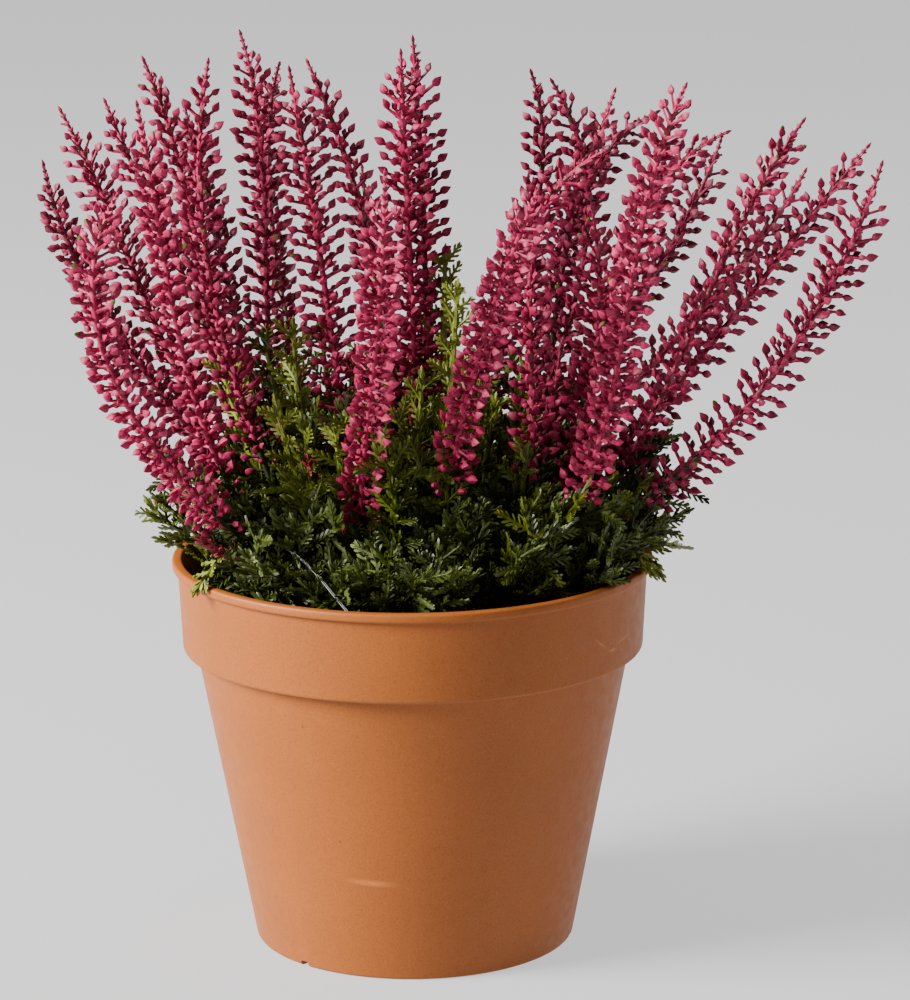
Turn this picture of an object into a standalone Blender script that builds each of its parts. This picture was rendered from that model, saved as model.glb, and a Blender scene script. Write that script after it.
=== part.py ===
"""Potted artificial heather: moulded flower spikes and fern-like sprigs in a plain nursery pot.

The plant is a bunch of wire stems pushed into the filler of the pot. Each main stem ends in a
socket low in the foliage, and up to three flower spikes stand on that socket. Shorter sprigs of
foliage stand on the filler between them.

Metres, +Z up. The origin is the centre of the pot's flat underside, and -Y is the front.
"""
import math
import random

import bmesh
import bpy
from mathutils import Matrix, Vector
from mathutils.bvhtree import BVHTree
from mathutils.geometry import intersect_point_line

MM = 0.001

# Pot: a thin shell with a stepped collar, a rolled lip and three drain notches under its edge
POT_HEIGHT = 98.2 * MM
POT_WALL = 1.2 * MM
POT_FLOOR = 2.0 * MM
BASE_RADIUS = 40.1 * MM
BODY_TOP_RADIUS = 54.3 * MM
COLLAR_BOTTOM_Z = 75.4 * MM
COLLAR_BOTTOM_RADIUS = 57.6 * MM
COLLAR_TOP_RADIUS = 58.6 * MM
LIP_RADIUS = 60.0 * MM
LIP_BOTTOM_Z = 95.9 * MM
EDGE_ROUND = 0.8 * MM
LIP_ROUND = 0.5 * MM
POT_SIDES = 44
NOTCH_AZIMUTHS = (227, 347, 107)
NOTCH_WIDTH = 2.6 * MM
NOTCH_HEIGHT = 1.4 * MM
NOTCH_DEPTH = 3.0 * MM
SHARP_EDGE = 30

# Gap kept between solids that touch on the real plant
GAP = 0.3 * MM

# Filler: the dark plug that holds the stems, a little below the collar's step
FILLER_TOP = 74.0 * MM
FILLER_ROUND = 2.0 * MM
FILLER_SIDES = 22

# Main stems: (azimuth in degrees, distance of the socket from the pot's axis in mm)
MAIN_STEMS = ((350, 28), (320, 27), (285, 24), (240, 26), (206, 30), (178, 27), (148, 27),
              (120, 25), (90, 24), (60, 26), (30, 28), (60, 8), (5, 14), (200, 12))
STEM_FOOT_SHARE = 0.7
STEM_RADIUS = 1.4 * MM
SOCKET_TOP = 92.0 * MM
SOCKET_RADIUS = 2.9 * MM
SOCKET_HEIGHT = 3.0 * MM
SOCKET_SPREAD = 1.8 * MM
STEM_SIDES = 6

# Flower spikes: (main stem, azimuth, reach in mm, tip height in mm, lean at the foot, lean at the tip)
SPIKES = (
    (1, 350, 115, 199, 63, 16), (1, 3, 97, 206, 52, 37), (1, 9, 80, 202, 35, 70),
    (2, 327, 77, 221, 58, 26), (2, 332, 53, 203, 30, 65), (2, 357, 37, 151, 37, 10),
    (3, 296, 67, 199, 8, 34), (4, 264, 55, 203, 0, 0),
    (5, 200, 69, 215, 44, 11), (5, 215, 83, 197, 57, -38),
    (6, 171, 92, 195, 35, 11), (6, 189, 49, 223, 21, -11), (6, 156, 97, 205, 56, 34),
    (7, 163, 69, 220, 44, 24), (7, 142, 100, 204, 33, 30), (7, 130, 92, 202, 70, 35),
    (8, 143, 53, 225, 55, 19), (8, 113, 87, 211, 75, -40),
    (9, 120, 52, 216, 3, 33), (9, 98, 92, 182, 45, 20),
    (10, 52, 87, 205, 34, 31), (10, 70, 92, 180, 45, 20), (10, 45, 43, 215, -12, -22),
    (11, 25, 112, 187, 30, 32), (11, 37, 101, 193, 17, 24), (11, 29, 72, 204, 25, 72),
    (12, 64, 2, 227, 0, 8), (13, 8, 35, 216, 23, -33), (13, 11, 117, 197, 62, 41),
    (14, 195, 30, 221, 9, 10))
CURVE_PULL = 0.36
SPIKE_STEM_RADIUS = 1.0 * MM
SPIKE_CORE_RADIUS = 2.6 * MM
SPIKE_TIP_RADIUS = 0.45 * MM
SPIKE_STATIONS = 9
SPIKE_PEG = 2.2 * MM
BLOOM_LENGTH = 100.0 * MM
BLOOM_SHARE = 0.72
CORE_SHARE = 0.45
BARE_TIP = 5.0 * MM
TWIG_SIDES = 3

# Buds: pointed, on short side stalks that stand out and up from the spike
BUD_SPACING = 5.0 * MM
BUD_LENGTH = 8.2 * MM
BUD_TIP_LENGTH = 5.0 * MM
BUD_GROWTH = 0.7 * MM
BUD_WIDTH = 4.6 * MM
BUD_WAIST = 0.60
BUD_ANGLE = 58
BUD_SIDES = 3
TURN_BETWEEN_BUDS = 137.5
TURN_BETWEEN_SPIKES = 40
BUD_CLEARANCE = 1.0 * MM

# Foliage: (azimuth, foot distance, reach, tip height in mm, lean at the foot, lean at the tip)
SPRIGS = (
    (335, 40, 68, 111, 8, 70), (303, 40, 50, 110, 0, 30), (262, 36, 46, 108, 0, 25),
    (223, 40, 56, 109, 5, 45), (192, 41, 66, 112, 8, 65), (163, 41, 65, 120, 8, 60),
    (134, 38, 52, 134, 6, 35), (105, 36, 46, 140, 5, 25), (75, 36, 48, 138, 5, 25),
    (45, 38, 54, 132, 6, 35), (12, 41, 69, 115, 8, 65),
    (180, 13, 29, 157, 8, 0), (325, 8, 14, 168, 0, 4), (15, 22, 40, 139, 10, 20))
SPRIG_FOOT_RADIUS = 1.1 * MM
SPRIG_TIP_RADIUS = 0.6 * MM
SPRIG_STATIONS = 6
BLADES_PER_SPRIG = 5
BLADE_TOP_SHARE = 0.97
BLADE_STEP_SHARE = 0.13
BLADE_LENGTH = 24.0 * MM
BLADE_WIDTH = 12.0 * MM
BLADE_RIB = 2.4 * MM
BLADE_THICKNESS = 0.7 * MM
BLADE_TEETH = 3
TOOTH_START = 0.35
TOOTH_LENGTH = 0.9
TOOTH_TAPER = 0.18
BLADE_ANGLE = 48
TOP_BLADE_ANGLE = 25
BLADE_WANDER = 70
BLADE_TWIST = 35
BLADE_SINK = 0.4 * MM
BLADE_ROOT = 2.0 * MM
BLADE_TRIES = 8
SEED = 20

PLASTIC_TERRACOTTA = ((0.47, 0.20, 0.075, 1.0), 0.55)
DARK_FILLER = ((0.030, 0.026, 0.018, 1.0), 0.9)
STEM_GREEN = ((0.065, 0.090, 0.022, 1.0), 0.5)
HEATHER_PINK = ((0.36, 0.035, 0.11, 1.0), 0.5)
FOLIAGE_GREEN = ((0.055, 0.095, 0.022, 1.0), 0.55)


def clear_scene():
    """Remove every object that the file starts with."""
    for thing in list(bpy.data.objects):
        bpy.data.objects.remove(thing, do_unlink=True)


def plastic(name, finish):
    """Make a plain plastic material from a colour and a roughness."""
    colour, roughness = finish
    material = bpy.data.materials.new(name)
    material.use_nodes = True
    shader = material.node_tree.nodes["Principled BSDF"]
    shader.inputs["Base Color"].default_value = colour
    shader.inputs["Roughness"].default_value = roughness
    shader.inputs["Metallic"].default_value = 0.0
    material.diffuse_color = colour
    return material


def add_object(name, bm, finish=None):
    """Turn a bmesh into a linked object with a material of its own."""
    mesh = bpy.data.meshes.new(name)
    bmesh.ops.recalc_face_normals(bm, faces=bm.faces)
    bm.to_mesh(mesh)
    bm.free()
    thing = bpy.data.objects.new(name, mesh)
    bpy.context.scene.collection.objects.link(thing)
    if finish:
        mesh.materials.append(plastic(name + "_finish", finish))
    return thing


def shade_round(thing):
    """Shade an object smooth, apart from its sharp edges."""
    thing.data.shade_smooth()
    thing.data.set_sharp_from_angle(angle=math.radians(SHARP_EDGE))


def settle(thing):
    """Apply an object's modifiers to its mesh."""
    bpy.context.view_layer.update()
    graph = bpy.context.evaluated_depsgraph_get()
    mesh = bpy.data.meshes.new_from_object(thing.evaluated_get(graph))
    thing.modifiers.clear()
    thing.data = mesh


def cut_away(thing, cutter):
    """Cut one solid out of another for good, and remove the cutter."""
    cut = thing.modifiers.new("cut", "BOOLEAN")
    cut.operation = "DIFFERENCE"
    cut.solver = "EXACT"
    cut.object = cutter
    settle(thing)
    bpy.data.objects.remove(cutter, do_unlink=True)


def fuse(thing, extras):
    """Join extra solids to an object with one Boolean union, then remove them."""
    if not extras:
        return
    group = bpy.data.collections.new("extras")
    bpy.context.scene.collection.children.link(group)
    for extra in extras:
        bpy.context.scene.collection.objects.unlink(extra)
        group.objects.link(extra)
    join = thing.modifiers.new("join", "BOOLEAN")
    join.operation = "UNION"
    join.solver = "EXACT"
    join.operand_type = "COLLECTION"
    join.collection = group
    settle(thing)
    for extra in extras:
        bpy.data.objects.remove(extra, do_unlink=True)
    bpy.data.collections.remove(group)


def polar(azimuth, reach, height):
    """Give the point at an azimuth in degrees, a distance from the axis and a height."""
    angle = math.radians(azimuth)
    return Vector((reach * math.cos(angle), reach * math.sin(angle), height))


def leaning(azimuth, lean):
    """Give the unit direction that leans from the upright towards an azimuth, in degrees."""
    angle = math.radians(lean)
    return polar(azimuth, math.sin(angle), math.cos(angle))


def heading(start, end):
    """Give the azimuth in degrees in which one point lies from another."""
    return math.degrees(math.atan2(end.y - start.y, end.x - start.x))


def bent_line(start, end, foot_lean, tip_lean, count):
    """Give points on a smooth curve that leaves and arrives at the two leans, in one upright plane."""
    azimuth = heading(start, end)
    pull = (end - start).length * CURVE_PULL
    first = start + leaning(azimuth, foot_lean) * pull
    second = end - leaning(azimuth, tip_lean) * pull
    points = []
    for step in range(count):
        t = step / (count - 1)
        s = 1.0 - t
        points.append(start * s ** 3 + first * 3 * t * s * s + second * 3 * t * t * s + end * t ** 3)
    return points


def lengths_along(points):
    """Give the distance along a row of points at each of them."""
    total = 0.0
    out = [0.0]
    for before, after in zip(points, points[1:]):
        total += (after - before).length
        out.append(total)
    return out


def at_length(points, lengths, wanted):
    """Give the point and the direction at a distance along a row of points."""
    index = 1
    while index < len(points) - 1 and lengths[index] < wanted:
        index += 1
    before, after = points[index - 1], points[index]
    share = (wanted - lengths[index - 1]) / (lengths[index] - lengths[index - 1])
    return before.lerp(after, share), (after - before).normalized()


def across(direction, azimuth):
    """Give two unit directions square to a third that lies in the upright plane of an azimuth."""
    level = polar(azimuth + 90, 1.0, 0)
    first = direction.cross(level).normalized()
    return first, direction.cross(first).normalized()


def circle(centre, first, second, radius, sides):
    """Give the corners of a regular ring round a centre, in the plane of two directions."""
    corners = []
    for side in range(sides):
        angle = math.tau * side / sides
        corners.append(centre + (first * math.cos(angle) + second * math.sin(angle)) * radius)
    return corners


def add_loft(bm, rings):
    """Join rings of points with quads, and close the first and the last ring."""
    loops = [[bm.verts.new(point) for point in ring] for ring in rings]
    for lower, upper in zip(loops, loops[1:]):
        count = len(lower)
        for index in range(count):
            following = (index + 1) % count
            bm.faces.new((lower[index], lower[following], upper[following], upper[index]))
    bm.faces.new(list(reversed(loops[0])))
    bm.faces.new(loops[-1])


def add_twig(bm, points, radii):
    """Add a rod of changing thickness along a row of points in one upright plane."""
    azimuth = heading(points[0], points[-1])
    last = len(points) - 1
    rings = []
    for index, point in enumerate(points):
        ahead = points[min(index + 1, last)]
        behind = points[max(index - 1, 0)]
        first, second = across((ahead - behind).normalized(), azimuth)
        rings.append(circle(point, first, second, radii[index], TWIG_SIDES))
    add_loft(bm, rings)


def lathe(name, profile, sides, finish):
    """Turn an outline of (radius, height) pairs, which starts and ends on the axis, into a solid."""
    bm = bmesh.new()
    loops = []
    for radius, height in profile:
        corners = sides if radius else 1
        loops.append([bm.verts.new(polar(360 * corner / sides, radius, height)) for corner in range(corners)])
    for lower, upper in zip(loops, loops[1:]):
        for side in range(sides):
            following = (side + 1) % sides
            corners = [lower[side % len(lower)], lower[following % len(lower)],
                       upper[following % len(upper)], upper[side % len(upper)]]
            bm.faces.new(list(dict.fromkeys(corners)))
    return add_object(name, bm, finish)


def inner_radius(height):
    """Give the radius of the inside of the pot's body at a height."""
    share = (height - POT_FLOOR) / (COLLAR_BOTTOM_Z + POT_WALL - POT_FLOOR)
    return BASE_RADIUS + (BODY_TOP_RADIUS - BASE_RADIUS) * share - POT_WALL


def make_pot():
    """Make the pot with its collar, its lip and the drain notches under its edge."""
    step_z = COLLAR_BOTTOM_Z + POT_WALL
    collar_inner = COLLAR_BOTTOM_RADIUS - POT_WALL
    lip_inner = COLLAR_TOP_RADIUS - POT_WALL
    outline = (
        (0, 0), (BASE_RADIUS - EDGE_ROUND, 0), (BASE_RADIUS, EDGE_ROUND),
        (BODY_TOP_RADIUS, COLLAR_BOTTOM_Z),
        (COLLAR_BOTTOM_RADIUS - EDGE_ROUND, COLLAR_BOTTOM_Z),
        (COLLAR_BOTTOM_RADIUS, COLLAR_BOTTOM_Z + EDGE_ROUND),
        (COLLAR_TOP_RADIUS, LIP_BOTTOM_Z),
        (LIP_RADIUS - LIP_ROUND, LIP_BOTTOM_Z), (LIP_RADIUS, LIP_BOTTOM_Z + LIP_ROUND),
        (LIP_RADIUS, POT_HEIGHT - LIP_ROUND), (LIP_RADIUS - LIP_ROUND, POT_HEIGHT),
        (lip_inner + LIP_ROUND, POT_HEIGHT), (lip_inner, POT_HEIGHT - LIP_ROUND),
        (collar_inner, step_z), (inner_radius(step_z), step_z),
        (inner_radius(POT_FLOOR), POT_FLOOR), (0, POT_FLOOR))
    pot = lathe("pot", outline, POT_SIDES, PLASTIC_TERRACOTTA)
    for azimuth in NOTCH_AZIMUTHS:
        bm = bmesh.new()
        size = Matrix.Diagonal((2 * NOTCH_DEPTH, NOTCH_WIDTH, 2 * NOTCH_HEIGHT, 1.0))
        turn = Matrix.Rotation(math.radians(azimuth), 4, "Z")
        place = Matrix.Translation(polar(azimuth, BASE_RADIUS, 0))
        bmesh.ops.create_cube(bm, size=1.0, matrix=place @ turn @ size)
        cut_away(pot, add_object("notch_cutter", bm))
    shade_round(pot)
    return pot


def make_filler():
    """Make the plug that fills the pot up to just under the collar's step."""
    bottom = POT_FLOOR + GAP
    shoulder = FILLER_TOP - FILLER_ROUND
    outline = (
        (0, bottom), (inner_radius(bottom) - GAP, bottom), (inner_radius(shoulder) - GAP, shoulder),
        (inner_radius(FILLER_TOP) - GAP - FILLER_ROUND, FILLER_TOP), (0, FILLER_TOP))
    filler = lathe("filler", outline, FILLER_SIDES, DARK_FILLER)
    shade_round(filler)
    return filler


def make_main_stem(number, azimuth, distance):
    """Make one wire stem, from the filler up to its socket."""
    foot = polar(azimuth, distance * MM * STEM_FOOT_SHARE, FILLER_TOP + GAP)
    head = polar(azimuth, distance * MM, 0)
    levels = ((foot, STEM_RADIUS), (head + Vector((0, 0, SOCKET_TOP - 2 * SOCKET_HEIGHT)), STEM_RADIUS),
              (head + Vector((0, 0, SOCKET_TOP - SOCKET_HEIGHT)), SOCKET_RADIUS),
              (head + Vector((0, 0, SOCKET_TOP)), SOCKET_RADIUS))
    level_x, level_y = Vector((1, 0, 0)), Vector((0, 1, 0))
    bm = bmesh.new()
    add_loft(bm, [circle(point, level_x, level_y, radius, STEM_SIDES) for point, radius in levels])
    stem = add_object(f"main_stem_{number:02d}", bm, STEM_GREEN)
    shade_round(stem)
    return stem


def spike_lines():
    """Work out the curve of each spike, side by side on the socket of its main stem."""
    lines = {}
    for stem, (stem_azimuth, distance) in enumerate(MAIN_STEMS, start=1):
        socket = polar(stem_azimuth, distance * MM, SOCKET_TOP + GAP)
        group = []
        for number, (spike_stem, azimuth, reach, height, foot_lean, tip_lean) in enumerate(SPIKES, start=1):
            if spike_stem == stem:
                tip = polar(azimuth, reach * MM, height * MM)
                turn = (heading(socket, tip) - stem_azimuth + 180) % 360 - 180
                group.append((turn, number, tip, foot_lean, tip_lean))
        group.sort()
        middle = stem_azimuth + sum(item[0] for item in group) / len(group)
        slots = {1: (), 2: (-90, 90), 3: (-110, 0, 110)}[len(group)]
        for place, (turn, number, tip, foot_lean, tip_lean) in enumerate(group):
            foot = socket
            if slots:
                foot = socket + polar(middle + slots[place], SOCKET_SPREAD, 0)
            start = foot + Vector((0, 0, SPIKE_PEG))
            lines[number] = [foot] + bent_line(start, tip, foot_lean, tip_lean, SPIKE_STATIONS)
    return lines


def nearest(points, place):
    """Give the distance from a place to the nearest point of a row of straight runs."""
    best = math.inf
    for start, end in zip(points, points[1:]):
        share = intersect_point_line(place, start, end)[1]
        closest = start.lerp(end, min(max(share, 0.0), 1.0))
        best = min(best, (closest - place).length)
    return best


def in_own_space(place, number, lines):
    """Tell whether a place is clearly nearer to its own spike than to any other."""
    own = nearest(lines[number], place)
    for other, points in lines.items():
        if other != number and nearest(points, place) < own + BUD_CLEARANCE:
            return False
    return True


def spike_radius(below_tip, bloom):
    """Give the thickness of a spike: bare stem under the bloom, and a core that narrows upwards."""
    if below_tip > bloom:
        return SPIKE_STEM_RADIUS
    share = min(below_tip / (bloom * CORE_SHARE), 1.0)
    return SPIKE_TIP_RADIUS + (SPIKE_CORE_RADIUS - SPIKE_TIP_RADIUS) * share


def make_bud(foot, direction, along, length):
    """Make a pointed bud on its stalk: two pyramids base to base, the outer one shorter."""
    first = direction.cross(along).normalized()
    second = direction.cross(first).normalized()
    width = BUD_WIDTH * length / BUD_LENGTH
    bm = bmesh.new()
    corners = circle(foot + direction * (length * BUD_WAIST), first, second, width / 2, BUD_SIDES)
    ring = [bm.verts.new(corner) for corner in corners]
    root = bm.verts.new(foot)
    tip = bm.verts.new(foot + direction * length)
    for side in range(BUD_SIDES):
        following = (side + 1) % BUD_SIDES
        bm.faces.new((root, ring[following], ring[side]))
        bm.faces.new((tip, ring[side], ring[following]))
    return add_object("bud", bm)


def make_spike(number, lines):
    """Make one flower spike: a tapered stem, bare below, with buds turning round it above."""
    points = lines[number]
    lengths = lengths_along(points)
    total = lengths[-1]
    azimuth = heading(points[0], points[-1])
    bloom = min(BLOOM_LENGTH, total * BLOOM_SHARE)
    bm = bmesh.new()
    add_twig(bm, points, [spike_radius(total - length, bloom) for length in lengths])
    spike = add_object(f"flower_spike_{number:02d}", bm, HEATHER_PINK)
    rise = math.radians(BUD_ANGLE)
    buds = []
    for index in range(round((bloom - BARE_TIP) / BUD_SPACING)):
        foot, direction = at_length(points, lengths, total - BARE_TIP - index * BUD_SPACING)
        first, second = across(direction, azimuth)
        angle = math.radians(TURN_BETWEEN_BUDS * index + TURN_BETWEEN_SPIKES * number)
        outward = first * math.cos(angle) + second * math.sin(angle)
        pointing = outward * math.sin(rise) + direction * math.cos(rise)
        length = min(BUD_LENGTH, BUD_TIP_LENGTH + index * BUD_GROWTH)
        if in_own_space(foot + pointing * length, number, lines):
            buds.append(make_bud(foot, pointing, direction, length))
    fuse(spike, buds)
    return spike


def blade_mesh(foot, direction, side, margin=0.0):
    """Shape a flat spray of needles: a toothed blade with a rib down its middle."""
    normal = direction.cross(side).normalized()
    step = BLADE_LENGTH / (BLADE_TEETH + TOOTH_START * 2)
    half = [(0.0, BLADE_RIB / 2)]
    for tooth in range(BLADE_TEETH):
        start = step * (tooth + TOOTH_START)
        half.append((start, BLADE_RIB / 2))
        half.append((start + step * TOOTH_LENGTH, BLADE_WIDTH / 2 * (1.0 - TOOTH_TAPER * tooth)))
    outline = [(along, wide + margin) for along, wide in half]
    outline.append((BLADE_LENGTH + margin, 0.0))
    outline += [(along, -wide - margin) for along, wide in reversed(half)]
    corners = [foot + direction * along + side * wide for along, wide in outline]
    offset = normal * (BLADE_THICKNESS / 2 + margin)
    bm = bmesh.new()
    add_loft(bm, ([corner - offset for corner in corners], [corner + offset for corner in corners]))
    return bm


def is_clear(bm, others):
    """Tell whether a trial mesh crosses none of the search trees, and free it."""
    tree = BVHTree.FromBMesh(bm)
    bm.free()
    return not any(tree.overlap(other) for other in others)


def search_tree(thing):
    """Make a search tree of a finished object."""
    bpy.context.view_layer.update()
    return BVHTree.FromObject(thing, bpy.context.evaluated_depsgraph_get())


def make_sprig(number, row, taken, chance):
    """Make one sprig of foliage: a stem with toothed blades, each kept clear of what is there."""
    azimuth, foot_distance, reach, height, foot_lean, tip_lean = row
    foot = polar(azimuth, foot_distance * MM, FILLER_TOP + GAP)
    tip = polar(azimuth, reach * MM, height * MM)
    points = bent_line(foot, tip, foot_lean, tip_lean, SPRIG_STATIONS)
    lengths = lengths_along(points)
    total = lengths[-1]
    narrowing = SPRIG_FOOT_RADIUS - SPRIG_TIP_RADIUS
    bm = bmesh.new()
    add_twig(bm, points, [SPRIG_FOOT_RADIUS - narrowing * length / total for length in lengths])
    sprig = add_object(f"foliage_{number:02d}", bm, FOLIAGE_GREEN)
    blades = []
    kept = []
    for index in range(BLADES_PER_SPRIG):
        share = BLADE_TOP_SHARE - BLADE_STEP_SHARE * index
        root, along = at_length(points, lengths, total * share)
        first, second = across(along, heading(foot, tip))
        for attempt in range(BLADE_TRIES):
            angle = math.radians(180 * index + chance.uniform(-BLADE_WANDER, BLADE_WANDER))
            outward = first * math.cos(angle) + second * math.sin(angle)
            rise = math.radians(BLADE_ANGLE if index else chance.uniform(0, TOP_BLADE_ANGLE))
            direction = outward * math.sin(rise) + along * math.cos(rise)
            twist = math.radians(chance.uniform(-BLADE_TWIST, BLADE_TWIST))
            side = Matrix.Rotation(twist, 3, direction) @ outward.cross(along)
            trial = blade_mesh(root + direction * BLADE_ROOT, direction, side, GAP)
            if is_clear(trial, taken + kept):
                bm = blade_mesh(root - direction * BLADE_SINK, direction, side)
                kept.append(BVHTree.FromBMesh(bm))
                blades.append(add_object("blade", bm))
                break
    fuse(sprig, blades)
    return sprig


def main():
    """Build the pot, the filler, the stems, the spikes and the foliage."""
    clear_scene()
    solids = [make_pot(), make_filler()]
    for number, (azimuth, distance) in enumerate(MAIN_STEMS, start=1):
        solids.append(make_main_stem(number, azimuth, distance))
    lines = spike_lines()
    for number in sorted(lines):
        solids.append(make_spike(number, lines))
    taken = [search_tree(thing) for thing in solids]
    chance = random.Random(SEED)
    for number, row in enumerate(SPRIGS, start=1):
        taken.append(search_tree(make_sprig(number, row, taken, chance)))


main()
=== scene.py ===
"""Potted artificial heather: moulded rose spikes and fern-like sprigs in a terracotta nursery pot.

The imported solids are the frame. Every piece here stands for one of them or for a group of them:
the pot and its filler, the wire stems, the flower spikes and the foliage. The spikes and sprigs
follow the solids' own curves and are carried on to single buds and single needles.

Metres, +Z up. The origin is the centre of the pot's flat underside, and -Y is the front.
"""
from __future__ import annotations

import bisect
import logging
import math
import random
from dataclasses import dataclass, field
from enum import Enum
from typing import Iterable, Sequence, Union

import bmesh
import bpy
import numpy as np
from mathutils import Matrix, Vector, noise


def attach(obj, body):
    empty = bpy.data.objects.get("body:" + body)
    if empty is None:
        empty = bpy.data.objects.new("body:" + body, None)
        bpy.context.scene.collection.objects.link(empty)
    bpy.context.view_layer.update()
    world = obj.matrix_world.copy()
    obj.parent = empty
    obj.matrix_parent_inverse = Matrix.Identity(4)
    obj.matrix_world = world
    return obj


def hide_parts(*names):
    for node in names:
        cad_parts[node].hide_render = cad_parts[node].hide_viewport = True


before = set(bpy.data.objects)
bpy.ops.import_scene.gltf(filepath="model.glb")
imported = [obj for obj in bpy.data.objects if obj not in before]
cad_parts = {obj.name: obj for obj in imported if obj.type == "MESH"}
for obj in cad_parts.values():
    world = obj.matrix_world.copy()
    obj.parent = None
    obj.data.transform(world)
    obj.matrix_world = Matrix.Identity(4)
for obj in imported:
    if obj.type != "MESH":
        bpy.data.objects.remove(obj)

LOG = logging.getLogger("potted_heather")
MM = 0.001
BODY = "root"
FRONT = Vector((0.0, -1.0, 0.0))
UP = Vector((0.0, 0.0, 1.0))
GOLDEN_ANGLE = 137.5
WELD = 0.002 * MM


# Curves that the solids follow

def polar(azimuth: float, reach: float, height: float) -> Vector:
    """Give the point at an azimuth, a distance from the axis and a height.

    Args:
        azimuth: direction in degrees from +X towards +Y.
        reach: distance from the pot's axis.
        height: height above the pot's underside.

    Returns:
        The point.
    """
    angle = math.radians(azimuth)
    return Vector((reach * math.cos(angle), reach * math.sin(angle), height))


def leaning(azimuth: float, lean: float) -> Vector:
    """Give the unit direction that leans from the upright towards an azimuth, both in degrees."""
    angle = math.radians(lean)
    return polar(azimuth, math.sin(angle), math.cos(angle))


def heading(start: Vector, end: Vector) -> float:
    """Give the azimuth in degrees in which one point lies from another."""
    return math.degrees(math.atan2(end.y - start.y, end.x - start.x))


def ease(low: float, high: float, value: float) -> float:
    """Give a smooth share from 0 at the low value to 1 at the high value."""
    share = min(max((value - low) / (high - low), 0.0), 1.0)
    return share * share * (3.0 - 2.0 * share)


def mix(first: float, second: float, share: float) -> float:
    """Give the value at a share of the way between two others."""
    return first + (second - first) * share


def tilted(direction: Vector, aside: Vector, degrees: float) -> Vector:
    """Lean a unit direction by an angle towards another one that is square to it."""
    angle = math.radians(degrees)
    return direction * math.cos(angle) + aside * math.sin(angle)


def square_to(direction: Vector, wanted: Vector) -> Vector:
    """Give the unit direction nearest to a wanted one that is square to a direction."""
    return (wanted - direction * wanted.dot(direction)).normalized()


@dataclass
class Line:
    """A smooth line through points, which knows its length."""

    points: list[Vector]
    lengths: list[float] = field(init=False)

    def __post_init__(self) -> None:
        """Measure the way along the line at each point."""
        self.lengths = [0.0]
        for before, after in zip(self.points, self.points[1:]):
            self.lengths.append(self.lengths[-1] + (after - before).length)

    @property
    def length(self) -> float:
        """Give the length of the whole line."""
        return self.lengths[-1]

    def at(self, distance: float) -> tuple[Vector, Vector]:
        """Give the point and the unit direction at a distance along the line.

        Args:
            distance: the way along from the first point.

        Returns:
            The point and the direction.
        """
        index = min(max(bisect.bisect_left(self.lengths, distance), 1), len(self.points) - 1)
        before, after = self.points[index - 1], self.points[index]
        share = (distance - self.lengths[index - 1]) / (self.lengths[index] - self.lengths[index - 1])
        return before.lerp(after, share), (after - before).normalized()


def bent_line(start: Vector, end: Vector, foot_lean: float, tip_lean: float, count: int,
              pull: float = 0.36) -> list[Vector]:
    """Give points on a curve that leaves and arrives at two leans, in one upright plane.

    Args:
        start: the first point.
        end: the last point.
        foot_lean: lean from the upright at the start, in degrees.
        tip_lean: lean from the upright at the end, in degrees.
        count: number of points.
        pull: how far each end holds its lean, as a share of the chord.

    Returns:
        The points.
    """
    azimuth = heading(start, end)
    hold = (end - start).length * pull
    first = start + leaning(azimuth, foot_lean) * hold
    second = end - leaning(azimuth, tip_lean) * hold
    points = []
    for step in range(count):
        t = step / (count - 1)
        s = 1.0 - t
        points.append(start * s ** 3 + first * 3 * t * s * s + second * 3 * t * t * s + end * t ** 3)
    return points


# Finishes

class Slot(Enum):
    """The material slots that the finishes name."""

    POT = "pot_plastic"
    FILLER = "filler_dark"
    STEM = "stem_plastic"
    FLOWER = "flower_plastic"
    FOLIAGE = "foliage_plastic"


Socket = bpy.types.NodeSocket
Colour = Sequence[float]
Paint = Union[Socket, float, Colour]


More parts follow.
